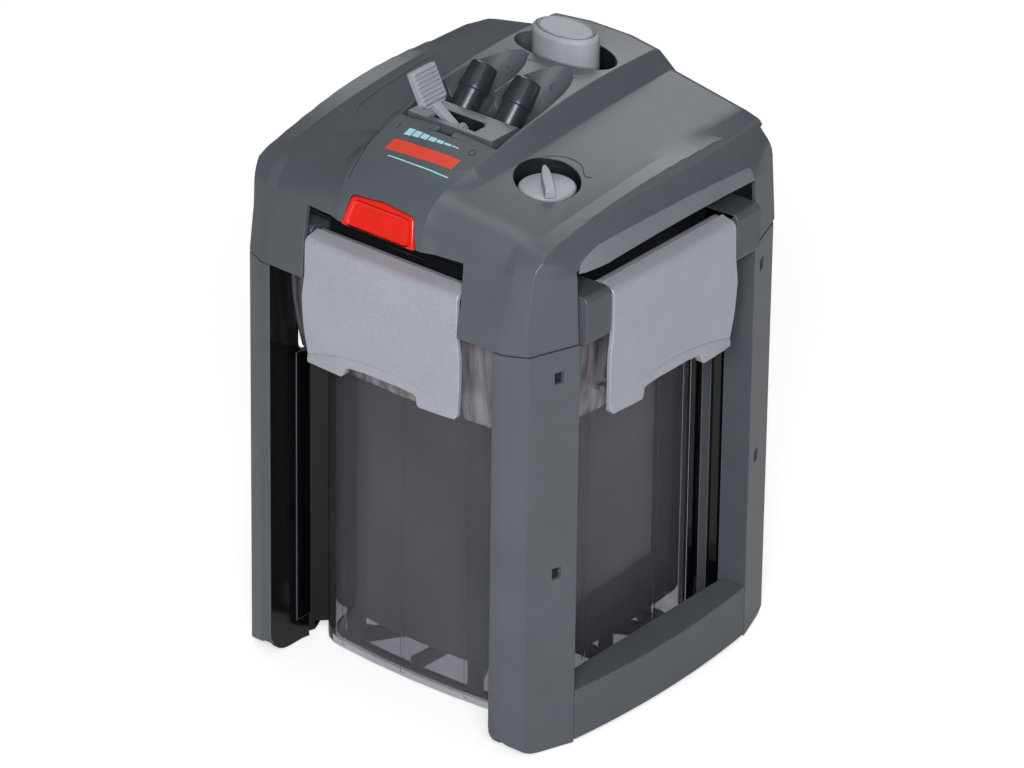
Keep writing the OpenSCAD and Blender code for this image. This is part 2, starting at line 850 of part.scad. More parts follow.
module canister() {
    color(smoke)
        difference() {
            union() {
                bow_prism(can_x, can_y, can_r, foot_h, flare_z + eps);
                skin([for (c = collar_rings) can_ring(c[0], c[1])]);
                for (turn = [0, 180])
                    catches(turn, can_y + collar_foot);
                for (turn = [90, 270])
                    catches(turn, can_x + collar_foot);
                mirror_xy()
                    corner_rail();
                wall_ribs();
            }
            bow_prism(can_x - can_wall, can_y - can_wall, can_r - can_wall, foot_h + can_wall,
                flare_z + 4);
            skin([for (c = concat([[0, flare_z + 3]], [for (i = [2:6]) [collar_rings[i][0],
                collar_rings[i][1] + (i == 2 ? 2 : 0)]], [[collar_out, collar_top + 5]]))
                    can_ring(c[0] - can_wall, c[1])]);
        }
}

// Upright ribs that stiffen the tub's flat walls
module wall_ribs() {
    half = can_rib + 0.3;
    intersection() {
        bow_prism(can_x + can_rib, can_y + can_rib, can_r + can_rib, foot_h + can_wall, flare_z);
        union() {
            for (x = [-55, -8, 39])
                box([x - half, -can_y - 5, 0], [x + half, can_y + 5, flare_z + 1]);
            for (y = [-33, 33])
                box([-can_x - 5, y - half, 0], [can_x + 5, y + half, flare_z + 1]);
        }
    }
}

rail_angle = 45;
rail_reach = (post_front_x + post_wall) * sqrt(2) + 3.5;

// Rail on the tub's corner that a post slides over
module corner_rail() {
    rotate([0, 0, rail_angle])
        box([90, -1.5, foot_h + 8], [rail_reach, 1.5, flare_z - 4]);
}

// ---------- posts, bars, feet ----------

window_z = [242.5, 116.5];
window_y = 93;

module post_outline() {
    polygon([[post_front_x, -face_y], [facet_x, -face_y], [corner_x, -corner_y],
        [post_side_x, -post_side_y], [post_side_x - post_return, -post_side_y],
        [post_side_x - post_return, -post_side_y - post_wall],
        [post_side_x - post_wall - 1, -post_side_y - post_wall],
        [corner_x - post_wall, -corner_y + post_wall * 0.8],
        [facet_x - 0.5, -face_y + post_wall], [post_front_x + post_wall, -face_y + post_wall],
        [post_front_x + post_wall, -face_y + guide_d], [post_front_x, -face_y + guide_d]]);
}

// Distance of the tub's rounded corner from the middle, along the diagonal
corner_out = norm([can_x - can_r, can_y - can_r]) + can_r;
web_in = corner_out + face_gap;
web_out = norm([corner_x, corner_y]);
rail_slot = 1.5 + face_gap;
land_d = 23;                           // bearing land on the guide wall, from the front face
land_t = 0.6;

// Web inside a post, behind the guide wall
module post_web() {
    intersection() {
        rotate([0, 0, -rail_angle])
            box([web_in, -rail_slot - post_wall, post_low + 6], [web_out, rail_slot + post_wall, flare_z - 5]);
        linear_extrude(seam_z)
            polygon([[post_front_x + 1, -post_side_y + 0.01], [post_side_x - 1, -post_side_y + 0.01],
                [corner_x - 1, -corner_y + 1], [facet_x, -face_y + 1], [post_front_x + 1, -face_y + 1]]);
    }
}

// Slot in guide wall and web that slides over the canister's corner rail
module rail_cut() {
    rotate([0, 0, -rail_angle])
        box([0, -rail_slot, -1], [rail_reach + face_gap, rail_slot, flare_z]);
}

// Rounds the lower rear corner of the guide wall
module guide_cut() {
    back = -face_y + guide_d;
    rotate([90, 0, 90])
        translate([0, 0, post_front_x - land_t - 1])
            linear_extrude(post_wall + land_t + 2)
                polygon(concat([[back + 1, -10]],
                    [for (i = [0:6])
                        [back - guide_r * (1 - cos(i * 15)), post_low + guide_r * (1 - sin(i * 15))]],
                    [[back - guide_r, -10]]));
}

// Corner post at the front right; the other three are its mirror images
module corner_post() {
    color(dark)
        difference() {
            union() {
                translate([0, 0, post_low])
                    linear_extrude(seam_z - seam_gap - post_low)
                        post_outline();
                box([post_front_x - land_t, -face_y + land_d, post_low + 15],
                    [post_front_x + 1, -face_y + guide_d - 1, flare_z + 4]);
                post_web();
            }
            toe_cut();
            guide_cut();
            rail_cut();
            collar_cut();
            for (z = window_z)
                box([104, -window_y - window_w / 2, z - window_h / 2],
                    [125, -window_y + window_w / 2, z + window_h / 2]);
            box([post_side_x - post_return - 5, -post_side_y - 8, 8], [108, -post_side_y + 8, 24]);
        }
}

// Room for the collar and the flange of the head inside the posts
module collar_cut() {
    room = 1.6;
    skin(concat([can_ring(room, flare_z - 3)],
        [for (i = [1:len(collar_rings) - 1]) can_ring(collar_rings[i][0] + room, collar_rings[i][1] - room)],
        [can_ring(collar_out + room, seam_z)]));
}

// Rounds the lower front edge
module toe_cut() {
    rotate([90, 0, 90])
        linear_extrude(sky, center = true)
            polygon(concat([[-face_y - 10, -10]],
                [for (i = [0:6])
                    [-face_y + post_toe_r * (1 - cos(i * 15)), post_low + post_toe_r * (1 - sin(i * 15))]],
                [[-face_y + post_toe_r, -10]]));
}

module post_front_right() {
    corner_post();
}

module post_front_left() {
    mirror([1, 0, 0])
        corner_post();
}

module post_rear_right() {
    mirror([0, 1, 0])
        corner_post();
}

module post_rear_left() {
    mirror([1, 0, 0])
        mirror([0, 1, 0])
            corner_post();
}

bar_r = (post_side_y * post_side_y + pow(bulge_x - post_side_x, 2)) / (2 * (bulge_x - post_side_x));

module bar_plan(inset) {
    intersection() {
        translate([bulge_x - bar_r, 0])
            circle(r = bar_r - inset, $fn = 360);
        translate([bulge_x - bar_w + inset - 2, -post_side_y + bar_gap + inset])
            square([bar_w + 2, 2 * (post_side_y - bar_gap - inset)]);
    }
}

// Base bar on the right: a channel open below, tongued into the posts beside it
module base_bar() {
    color(dark) {
        difference() {
            translate([0, 0, post_low + 1.5])
                linear_extrude(bar_top - post_low - 1.5)
                    bar_plan(0);
            linear_extrude(bar_top - 3)
                bar_plan(3);
        }
        for (y = [-54, -27, 0, 27, 54])
            box([bulge_x - bar_w - 1, y - 1, post_low + 8], [bulge_x - 6, y + 1, bar_top - 2]);
        for (s = [-1, 1])
            box([100, s > 0 ? post_side_y - 5 : -post_side_y - 4, 9],
                [106, s > 0 ? post_side_y + 4 : -post_side_y + 5, 23]);
    }
}

module base_bar_right() {
    base_bar();
}

module base_bar_left() {
    mirror([1, 0, 0])
        base_bar();
}

module rubber_feet() {
    color(rubber)
        mirror_xy()
            translate([58, 62, 0])
                difference() {
                    cylinder(r1 = 8, r2 = 9, h = foot_h);
                    translate([0, 0, -1])
                        cylinder(r = 4, h = 1.8);
                }
}

// ---------- clips ----------

clip_back_z = clip_axis_z + 6.3;
clip_fold_z = clip_axis_z + 2;
tooth_d = 8.5;
lip_mid = 14;                          // height of the lip in the middle and at its ends
lip_end = 4.5;
lip_t = 3.2;

// Side view of a clip: distance from the middle as Y, height as Z
function clip_section() =
    let (f = clip_face_d, t = clip_t)
    let (outer = rounded([[-clip_axis_d - 3.6, clip_back_z], [-f, clip_fold_z], [-f - 0.6, 250],
        [-f + 0.6, 226], [-f + 2.7, clip_low_z - 3]], [4.5, 120, 60], [5, 3, 3]))
    let (inner = rounded([[-clip_axis_d - 3.6, clip_back_z - t], [-f + t, clip_fold_z - t + 0.5],
        [-f - 0.6 + t, 250], [-f + 0.6 + t, 226], [-f + 2.7 + t, clip_low_z - 3]], [2, 120, 60], [5, 3, 3]))
    concat(outer, [for (i = [len(inner) - 1:-1:0]) inner[i]]);

// Front view of a clip, with its finger notch
module clip_outline() {
    half = [[clip_fold_w - 2.4, clip_back_z + 1], [clip_fold_w, clip_fold_z + 1],
        [clip_fold_w + 0.2, seam_z + 2], [clip_w - 1, 255], [clip_w, 247], [clip_w - 0.2, 237],
        [clip_w - 0.9, 226], [clip_w - 2, 216], [clip_w - 3, clip_low_z + 2.4], [clip_w - 4.2, clip_low_z + 0.7],
        [notch_w + 2.6, clip_low_z], [notch_w + 1.2, clip_low_z + 1.6], [notch_w, clip_low_z + notch_h - 1.2],
        [notch_w - 1.6, clip_low_z + notch_h], [notch_w * 0.5, clip_low_z + notch_h + 0.9]];
    polygon(concat(half, [for (i = [len(half) - 1:-1:0]) [-half[i][0], half[i][1]]]));
}

function clip_face(z) = clip_face_d + lookup(z, [[clip_low_z - 3, -2.7], [226, -0.6], [250, 0.6], [280, 0]]);

// Lip along the lower edge: it starts on an arched line and flares outwards
module clip_lip() {
    half = clip_w - 1;
    skin([for (i = [-6:6])
        let (x = i / 6 * half, z = clip_low_z + lip_end + (lip_mid - lip_end) * (1 - i * i / 36))
            [[x, -clip_face(z) + 1.2, z + 0.4], [x, -clip_face(z) - 0.02, z],
                [x, -clip_face(clip_low_z) - lip_t, clip_low_z - 2],
                [x, -clip_face(clip_low_z) + 1.2, clip_low_z - 2]]]);
}

module clip() {
    color(silver)
        difference() {
            union() {
                intersection() {
                    union() {
                        rotate([90, 0, 90])
                            linear_extrude(140, center = true)
                                polygon(clip_section());
                        clip_lip();
                    }
                    rotate([90, 0, 0])
                        linear_extrude(140)
                            clip_outline();
                }
                for (x = [-46, -23, 0, 23, 46])
                    clip_rib(x);
                for (s = [-1, 1])
                    clip_tooth(s * 39);
                along_hinge(barrel_r, clip_fold_w - 1.5);
                box([-clip_fold_w + 4, -clip_axis_d - 5, clip_axis_z],
                    [clip_fold_w - 4, -clip_axis_d, clip_back_z - 2.2]);
            }
            along_hinge(clip_pin_r + pin_fit, 100);
        }
}

module clip_rib(x) {
    rotate([90, 0, 90])
        translate([0, 0, x - 0.9])
            linear_extrude(1.8)
                polygon([[-clip_axis_d - 2, clip_axis_z + 3], [-clip_face_d + 2, clip_axis_z + 1],
                    [-clip_face_d + 2, 222], [-clip_face_d + 4.4, 222], [-clip_face_d + 5, 262],
                    [-clip_axis_d - 2, clip_axis_z - 3]]);
}

// Tooth that hooks under a ledge of the collar
module clip_tooth(x) {
    rotate([90, 0, 90])
        translate([0, 0, x - 8])
            linear_extrude(16)
                polygon([[-clip_face_d + 3, catch_z - 0.4], [-clip_face_d + 3 + tooth_d, catch_z - 0.4],
                    [-clip_face_d + 3 + tooth_d, catch_z - 2], [-clip_face_d + 3, catch_z - 5]]);
}

module clip_pin() {
    color(silver)
        along_hinge(clip_pin_r, lug_in + 5.5);
}

module clip_front() {
    clip();
}

module clip_right() {
    on_side(90)
        clip();
}

module clip_rear() {
    on_side(180)
        clip();
}

module clip_left() {
    on_side(270)
        clip();
}

module clip_pin_front() {
    clip_pin();
}

module clip_pin_right() {
    on_side(90)
        clip_pin();
}

module clip_pin_rear() {
    on_side(180)
        clip_pin();
}

module clip_pin_left() {
    on_side(270)
        clip_pin();
}

// ---------- adapter ----------
gate_t = 3;
gate_z = 331;
gate_half = 29;                        // half width of the room that the valve slides in
gate_front = lever_y + 3;
gate_back = nozzle_y - 6;
gate_way_r = 4;
rack_top = lever_z - pinion_r - 0.3;
rack_w = 6;
lever_t = 9;
gate_travel = pinion_r * 2 * lever_angle * PI / 180;
lever_pin_r = 1.6;
slot_gap = 0.4;
slot_left = 14.8;
slot_right = 15.6;
face_slope = tan(spigot_tilt);

module at_spigot(s) {
    translate([s * spigot_x, -spigot_foot_y, spigot_foot_z])
        rotate([-spigot_tilt, 0, 0])
            children();
}

module at_nozzles() {
    for (s = [-1, 1])
        translate([s * spigot_x, -nozzle_y, 0])
            children();
}

module at_lever() {
    translate([0, -lever_y, lever_z])
        rotate([90, 0, 0])
            children();
}

module adapter_block() {
    rotate([90, 0, 90])
        linear_extrude(2 * adapter_w, center = true)
            polygon([[-adapter_front, adapter_low], [-adapter_back, adapter_low],
                [-adapter_back, spigot_foot_z - (spigot_foot_y - adapter_back) * face_slope],
                [-spigot_foot_y - (adapter_top - spigot_foot_z) / face_slope, adapter_top],
                [-adapter_front, adapter_top]]);
}

module adapter_body() {
    slot_front = -lever_y - lever_t / 2 - slot_gap;
    slot_back = -lever_y + lever_t / 2 + slot_gap;
    color(dark)
        difference() {
            union() {
                difference() {
                    adapter_block();
                    gate_room();
                }
                at_nozzles()
                    rod(nozzle_r, tower_top - 22, adapter_low + 1);
                box([-slot_left, slot_back, adapter_top - 1], [slot_right - 1, slot_back + 1.4, adapter_top + 1.4]);
            }
            box([-slot_left, slot_front, lever_z - pinion_r - 1.6], [slot_right, slot_back, sky]);
            for (s = [-1, 1])
                at_spigot(s) {
                    rod(way_r, -11, 20);
                    rod(neck_r + 0.05, -4, 20);
                }
            at_nozzles() {
                rod(gate_way_r, tower_top - 30, gate_z + gate_t + 4);
                rod(way_r, tower_top - 30, gate_z - 4);
                tube(nozzle_r + 2, nozzle_r - 1.7, tower_top - 12.7, tower_top - 10.7);
            }
            at_lever()
                cylinder(r = lever_pin_r + pin_fit, h = 2 * (adapter_front - lever_y) + 1, center = true);
        }
}

// Flat chamber that the valve slide runs in, and the rack's way to the pinion
module gate_room() {
    box([-gate_half - face_gap, -gate_front - face_gap, gate_z - face_gap],
        [gate_half + face_gap, -gate_back + face_gap, gate_z + gate_t + face_gap]);
    box([-gate_half - face_gap, -lever_y - rack_w / 2 - face_gap, gate_z],
        [gate_half + face_gap, -lever_y + rack_w / 2 + face_gap, rack_top + 0.6]);
}

module spigot(s) {
    color(black)
        at_spigot(s)
            difference() {
                union() {
                    rod(neck_r, -3.8, neck_l);
                    rod(barb_r, neck_l, neck_l + barb_land);
                    translate([0, 0, neck_l + barb_land])
                        cylinder(r1 = barb_r, r2 = barb_tip_r, h = spigot_l - neck_l - barb_land - 1);
                    translate([0, 0, spigot_l - 1])
                        cylinder(r1 = barb_tip_r, r2 = barb_tip_r - 0.8, h = 1);
                }
                rod(way_r, -10, spigot_l + 5);
            }
}

module spigot_inlet() {
    spigot(-1);
}

module spigot_outlet() {
    spigot(1);
}

// O-rings on the adapter's two nozzles
module adapter_seals() {
    color(rubber)
        at_nozzles()
            translate([0, 0, tower_top - 11.7])
                rotate_extrude()
                    translate([nozzle_r - 0.7, 0])
                        circle(r = 0.9, $fn = 16);
}

pinion_teeth = 14;
tooth = PI * 2 * pinion_r / pinion_teeth;

// Toothed hub, cranked stem and ribbed thumb piece in one
module lever() {
    color(pale)
        translate([0, -lever_y, lever_z])
            rotate([0, -lever_angle, 0])
                difference() {
                    union() {
                        rotate([90, 0, 0])
                            cylinder(r = pinion_r - 0.8, h = lever_t, center = true);
                        for (i = [3:11])
                            rotate([0, (i + 0.5) * 360 / pinion_teeth, 0])
                                pinion_tooth();
                        box([-2, -2.6, 0], [2, 2.6, stem_l + 1.5]);
                        translate([0, 0, stem_l])
                            rotate([0, paddle_crank, 0])
                                paddle();
                    }
                    rotate([90, 0, 0])
                        cylinder(r = lever_pin_r + pin_fit, h = 30, center = true);
                }
}

module pinion_tooth() {
    rotate([90, 0, 0])
        linear_extrude(rack_w - 0.6, center = true)
            polygon([[-0.75, 0], [0.75, 0], [0.7, pinion_r - 0.8], [0.3, pinion_r + 0.5],
                [-0.3, pinion_r + 0.5], [-0.7, pinion_r - 0.8]]);
}

// Flat thumb piece with ribs across it, tapered where it joins the stem
module paddle() {
    half = paddle_w / 2;
    rotate([90, 0, 90])
        linear_extrude(4, center = true)
            polygon(rounded_loop([[-half, 1.5], [-half + 3, -1], [half - 3, -1], [half, 1.5],
                [half, paddle_l], [-half, paddle_l]], 1.8, 4));
    for (i = [0:paddle_ribs - 1])
        translate([2, 0, 2 + i * (paddle_l - 4) / (paddle_ribs - 1)])
            rotate([90, 0, 0])
                cylinder(r = 0.9, h = paddle_w - 2.4, center = true, $fn = 24);
}

module lever_pin() {
    color(silver)
        at_lever()
            cylinder(r = lever_pin_r, h = 2 * (adapter_front - lever_y) - 1, center = true);
}

// Sliding plate: its port and its end uncover both water ways when the lever is open
module valve_slide() {
    left = -spigot_x + gate_way_r + 1;
    mesh_x = gate_travel / 2;          // a tooth of the rack lies in a gap of the pinion here
    color(pale)
        difference() {
            union() {
                box([left, -gate_front, gate_z], [gate_half - 0.2, -gate_back, gate_z + gate_t]);
                box([left, -lever_y - rack_w / 2, gate_z + 1],
                    [gate_half - 0.2, -lever_y + rack_w / 2, rack_top - 0.9]);
                for (k = [ceil((left + 1 - mesh_x) / tooth):floor((gate_half - 1.2 - mesh_x) / tooth)])
                    translate([mesh_x + k * tooth, -lever_y, rack_top - 1])
                        rack_tooth();
            }
            translate([spigot_x, -nozzle_y, 0])
                rod(gate_way_r, gate_z - 5, gate_z + 9);
        }
}

module rack_tooth() {
    rotate([90, 0, 0])
        linear_extrude(rack_w - 0.6, center = true)
            polygon([[-0.6, 0], [0.6, 0], [0.25, 1], [-0.25, 1]]);
}

// ---------- knob ----------

module flow_knob() {
    color(pale)
        at_knob() {
            rod(knob_r, knob_top - 7, knob_top - 1);
            translate([0, 0, knob_top - 1])
                cylinder(r1 = knob_r, r2 = knob_r - 1, h = 1);
            rod(knob_stem_r, spool_top + 2.5, knob_top - 6);
            rotate([0, 0, 45])
                knob_pointer();
        }
}

// Fin across the knob, blunt at one end and pointed at the other
module knob_pointer() {
    half = 2.9;
    translate([0, 0, knob_top - 0.5])
        linear_extrude(5.6)
            polygon(concat([[-half, -knob_r], [half, -knob_r]],
                [for (i = [0:6]) [half * cos(i * 15), -2 + (knob_r + 1.6) * sin(i * 15)]],
                [for (i = [5:-1:0]) [-half * cos(i * 15), -2 + (knob_r + 1.6) * sin(i * 15)]]));
}

module bypass_spool() {
    color(pale)
        at_knob()
            difference() {
                union() {
                    rod(spool_r, spool_low, spool_top);
                    rod(knob_stem_r + 1.6, spool_top - 1, spool_top + 2.5);
                }
                translate([0, 0, 272])
                    rotate([90, 0, 45])
                        cylinder(r = 4.5, h = 60, center = true);
            }
}

// ---------- primer ----------
button_wall = 2.4;
piston_low = 290;
piston_h = 10;

// Oval shell with a rounded rim, on a round stem that drives the piston
module primer_button() {
    a = primer_a;
    b = primer_b;
    rim = [for (i = [0:4]) [3 * (1 - cos(i * 22.5)), 3 * sin(i * 22.5)]];
    color(pale)
        at_primer()
            difference() {
                union() {
                    difference() {
                        skin(concat([oval_ring(a, b, button_low)],
                            [for (r = rim) oval_ring(a - r[0], b - r[0], primer_top - 3 + r[1])]));
                        translate([0, 0, button_low - 1])
                            linear_extrude(primer_top - 3 - button_low + 1)
                                oval(a - button_wall, b - button_wall);
                    }
                    rod(stem_r, piston_low + piston_h, primer_top - 2);
                }
                difference() {
                    translate([0, 0, primer_top - 0.4])
                        linear_extrude(1)
                            oval(a - 3.4, b - 3.4);
                    translate([0, 0, primer_top - 1])
                        linear_extrude(2)
                            oval(a - 4.2, b - 4.2);
                }
            }
}

function oval_ring(a, b, z) = [for (i = [0:39]) [a * cos(i * 9), b * sin(i * 9), z]];

module primer_piston() {
    color(pale)
        at_primer()
            difference() {
                rod(piston_r, piston_low, piston_low + piston_h);
                tube(piston_r + 1, piston_r - 1.6, piston_low + 3.5, piston_low + 6.5);
            }
}

spring_turns = 6;
spring_r = 8.5;
wire_r = 0.8;

// Return spring under the primer button, a ring of points for every step of the coil
module primer_spring() {
    z0 = well_floor + wire_r + 0.1;
    z1 = primer_top - 3 - wire_r - 0.1;
    steps = spring_turns * 14;
    color("silver")
        at_primer()
            skin([for (i = [0:steps]) let (g = i * 360 / 14, z = mix(z0, z1, i / steps))
                [for (k = [5:-1:0]) let (r = spring_r + wire_r * cos(k * 60))
                    [r * cos(g), r * sin(g), z + wire_r * sin(k * 60)]]]);
}

// ---------- red button ----------

module red_button() {
    color(red)
        difference() {
            red_block(0, red_depth - 4, 0.8);
            at_red()
                rotate([90, 0, 0])
                    translate([0, 0, 0.3])
                        linear_extrude(3)
                            polygon(rounded_loop([[-red_low_w + 3, 1.5], [red_low_w - 3, 1.5],
                                [red_top_w - 3, red_h - 3], [-red_top_w + 3, red_h - 3]], 2.5, 4));
            at_red()
                rotate([90, 0, 0])
                    translate([0, 0, -red_depth])
                        linear_extrude(red_depth - 2.5)
                            polygon(rounded_loop([[-red_low_w + 2.5, 2], [red_low_w - 2.5, 2],
                                [red_top_w - 2.5, red_h - 2.5], [-red_top_w + 2.5, red_h - 2.5]], 2, 3));
        }
}

// ---------- pump ----------
rotor_low = collar_top - 8;
magnet_low = collar_top + 2;
shaft_r = 1.5;
hub_r = 4;
blade_tip = magnet_r + 8;

module motor_block() {
    color(black)
        at_motor()
            tube(motor_r, well_r + well_wall + 0.3, collar_top + case_floor, collar_top + case_floor + 33);
}

module impeller() {
    color(black)
        at_motor()
            difference() {
                union() {
                    rod(magnet_r, magnet_low, bush_z - 1);
                    rod(hub_r, rotor_low, magnet_low + 1);
                    rod(blade_tip, collar_top - 3.2, collar_top - 2.3);
                    for (i = [0:blades - 1])
                        rotate([0, 0, i * 360 / blades])
                            impeller_blade();
                }
                rod(shaft_r + 0.1, rotor_low - 5, sky);
            }
}

// Blade curved back along an arc, from the hub to the tip
module impeller_blade() {
    n = 5;
    step = (blade_tip - hub_r + 1) / n;
    curl = 0.22;
    translate([0, 0, rotor_low])
        linear_extrude(5)
            polygon(concat([for (i = [0:n]) [hub_r - 1 + i * step, curl * i * i - 0.6]],
                [for (i = [n:-1:0]) [hub_r - 1 + i * step, curl * i * i + 0.6]]));
}

module impeller_shaft() {
    color("white")
        at_motor()
            rod(shaft_r, chamber_low, bush_z + bush_h - 1.5);
}

// Rubber bushes that hold the two ends of the ceramic shaft
module shaft_bushes() {
    color(rubber)
        at_motor() {
            tube(bush_r, shaft_r + 0.03, bush_z, bush_z + bush_h);
            tube(bush_r, shaft_r + 0.03, chamber_low, rotor_low - 0.4);
        }
}

module pump_chamber_lid() {
    color(black)
        at_motor()
            difference() {
                rod(chamber_r + chamber_wall, chamber_low - 3, chamber_low);
                for (i = [0:4])
                    rotate([0, 0, i * 72])
                        translate([11, 0, 0])
                            rod(3.6, chamber_low - 5, chamber_low + 5);
            }
}

// ---------- inside the canister ----------

in_x = can_x - can_wall - basket_gap;
in_y = can_y - can_wall - basket_gap;
in_r = can_r - can_wall - basket_gap;
stack_back = pipe_y - pipe_r - 1.2;
tray_z = stack_z + 3 * basket_h;
tray_top = chamber_low - 10;

module stack_plan(inset) {
    intersection() {
        polygon(bow_ring(in_x - inset, in_y - inset, in_r - inset));
        translate([-sky, -sky])
            square([2 * sky, sky + stack_back - inset]);
    }
}

module basket_floor(z) {
    pitch = 2 * in_x / floor_bars;
    translate([0, 0, z])
        linear_extrude(2)
            difference() {
                stack_plan(basket_wall / 2);
                intersection() {
                    stack_plan(6);
                    union() {
                        for (i = [0:floor_bars - 1])
                            for (y = [-in_y + 4:26:stack_back])
                                translate([-in_x + i * pitch + 2.4, y])
                                    square([pitch - 2.4, 22]);
                    }
                }
            }
}

module basket(z, h) {
    color(black) {
        translate([0, 0, z])
            linear_extrude(h)
                difference() {
                    stack_plan(0);
                    stack_plan(basket_wall);
                }
        basket_floor(z);
        for (s = [-1, 1])
            box([s > 0 ? in_x - 7 : -in_x + 1, -12, z + h - 7], [s > 0 ? in_x - 1 : -in_x + 7, 12, z + h]);
    }
}

module basket_lower() {
    basket(stack_z, basket_h);
}

module basket_middle() {
    basket(stack_z + basket_h, basket_h);
}

module basket_upper() {
    basket(stack_z + 2 * basket_h, basket_h);
}

module prefilter_tray() {
    basket(tray_z, tray_top - tray_z);
}

module media(z, h) {
    translate([0, 0, z + 2])
        linear_extrude(h)
            stack_plan(basket_wall + 0.5);
}

module ceramic_media() {
    color("linen")
        media(stack_z, basket_h - 12);
}

module bio_media() {
    color("peru")
        media(stack_z + basket_h, basket_h - 12);
}

module filter_pads() {
    color("steelblue")
        media(stack_z + 2 * basket_h, 22);
    color("white")
        media(stack_z + 2 * basket_h + 22, 20);
}

module prefilter_sponge() {
    color("steelblue")
        media(tray_z, tray_top - tray_z - 10);
}

module inlet_pipe() {
    color(black)
        translate([pipe_x, pipe_y, 0])
            tube(pipe_r, pipe_r - 1.6, foot_h + can_wall + 12, collar_top - 4);
}

// Ribbed stand that keeps the lowest basket off the floor of the tub
module floor_grid() {
    low = foot_h + can_wall;
    color(black) {
        translate([0, 0, stack_z - 2.4])
            linear_extrude(2.4)
                difference() {
                    stack_plan(1);
                    stack_plan(9);
                }
        translate([0, 0, low])
            linear_extrude(2.4)
                difference() {
                    stack_plan(1.5);
                    stack_plan(6);
                }
        intersection() {
            translate([0, 0, low])
                linear_extrude(stack_z - low - 1)
                    stack_plan(2);
            for (i = [0:star_ribs - 1])
                rotate([0, 0, star_turn + i * 360 / star_ribs]) {
                    box([0, -1.6, low], [120, 1.6, low + star_h]);
                    if (i % 2 == 0)
                        intersection() {
                            box([60, -5, low], [120, 5, stack_z - 1]);
                            rotate([0, 0, -star_turn - i * 360 / star_ribs])
                                translate([0, 0, low])
                                    linear_extrude(stack_z - low - 1)
                                        difference() {
                                            stack_plan(2);
                                            stack_plan(5);
                                        }
                        }
                }
        }
        rod(9, low, low + star_h);
    }
}

star_ribs = 12;
star_turn = -123;                      // a rib just left of the middle, seen from the front
star_h = 9;

canister();
post_front_left();
post_front_right();
post_rear_left();
post_rear_right();
base_bar_left();
base_bar_right();
rubber_feet();
head_cover();
pump_head_case();
seal_ring();
cover_screws();
cable_gland();
clip_front();
clip_rear();
clip_left();
clip_right();
clip_pin_front();
clip_pin_rear();
clip_pin_left();
clip_pin_right();
adapter_body();
spigot_inlet();
spigot_outlet();
adapter_seals();
lever();
lever_pin();
valve_slide();
flow_knob();
bypass_spool();
primer_button();
primer_piston();
primer_spring();
red_button();
motor_block();
impeller();
impeller_shaft();
shaft_bushes();
pump_chamber_lid();
inlet_pipe();
floor_grid();
basket_lower();
basket_middle();
basket_upper();
prefilter_tray();
ceramic_media();
bio_media();
filter_pads();
prefilter_sponge();
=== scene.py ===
import json
import math

import bpy
from mathutils import Matrix, Vector

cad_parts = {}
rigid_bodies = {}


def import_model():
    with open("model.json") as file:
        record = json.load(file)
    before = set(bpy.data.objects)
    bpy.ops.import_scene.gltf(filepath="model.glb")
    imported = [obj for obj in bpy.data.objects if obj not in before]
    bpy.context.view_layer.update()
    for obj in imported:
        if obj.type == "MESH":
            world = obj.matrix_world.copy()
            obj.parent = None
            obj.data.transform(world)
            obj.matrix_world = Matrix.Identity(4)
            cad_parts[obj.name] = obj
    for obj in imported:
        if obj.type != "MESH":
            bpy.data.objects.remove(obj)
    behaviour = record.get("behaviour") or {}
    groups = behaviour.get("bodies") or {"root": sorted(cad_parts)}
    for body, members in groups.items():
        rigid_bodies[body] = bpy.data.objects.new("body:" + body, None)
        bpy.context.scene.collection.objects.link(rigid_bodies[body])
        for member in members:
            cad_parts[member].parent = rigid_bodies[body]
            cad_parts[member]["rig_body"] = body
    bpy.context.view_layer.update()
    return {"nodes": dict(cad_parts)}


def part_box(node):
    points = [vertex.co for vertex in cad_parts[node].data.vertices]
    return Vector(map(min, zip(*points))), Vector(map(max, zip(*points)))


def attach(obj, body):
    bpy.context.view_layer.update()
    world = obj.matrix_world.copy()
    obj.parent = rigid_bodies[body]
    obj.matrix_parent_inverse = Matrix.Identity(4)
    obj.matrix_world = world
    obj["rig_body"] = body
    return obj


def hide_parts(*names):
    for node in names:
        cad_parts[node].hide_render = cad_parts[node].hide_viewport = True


# External aquarium filter: smoked tub, corner posts, pump head with clips and hose adapter.
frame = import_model()
nodes = frame["nodes"]
mm = 0.001
far = 1  # m, well outside the object, where rays start


# Camera: a long lens, looking down at the front right corner
cameraView = {
    "azimuth": 38.867, "elevation": 28.0, "roll": 0.768,  # degrees
    "target": (0, 0, 0.163), "distance": 4.244,
    "lens": 255.83, "shift": 0.00107, "sensor": 36, "reach": 50,
}


def makeCamera(v):
    a, e, r = (math.radians(v[k]) for k in ("azimuth", "elevation", "roll"))
    side = Vector((math.cos(a), math.sin(a), 0))
    back = Vector((math.sin(a) * math.cos(e), -math.cos(a) * math.cos(e), math.sin(e)))
    up = back.cross(side)
    right = side * math.cos(r) + up * math.sin(r)
    top = up * math.cos(r) - side * math.sin(r)
    place = Vector(v["target"]) + back * v["distance"]
    bpy.ops.object.camera_add()
    camera = bpy.context.object
    camera.matrix_world = Matrix((
        (right.x, top.x, back.x, place.x),
        (right.y, top.y, back.y, place.y),
        (right.z, top.z, back.z, place.z),
        (0, 0, 0, 1)))
    camera.data.sensor_width = v["sensor"]
    camera.data.lens = v["lens"]
    camera.data.shift_x = v["shift"]
    camera.data.clip_end = v["reach"]
    bpy.context.scene.camera = camera


makeCamera(cameraView)
bpy.context.scene.view_settings.view_transform = "Standard"
print("camera set")


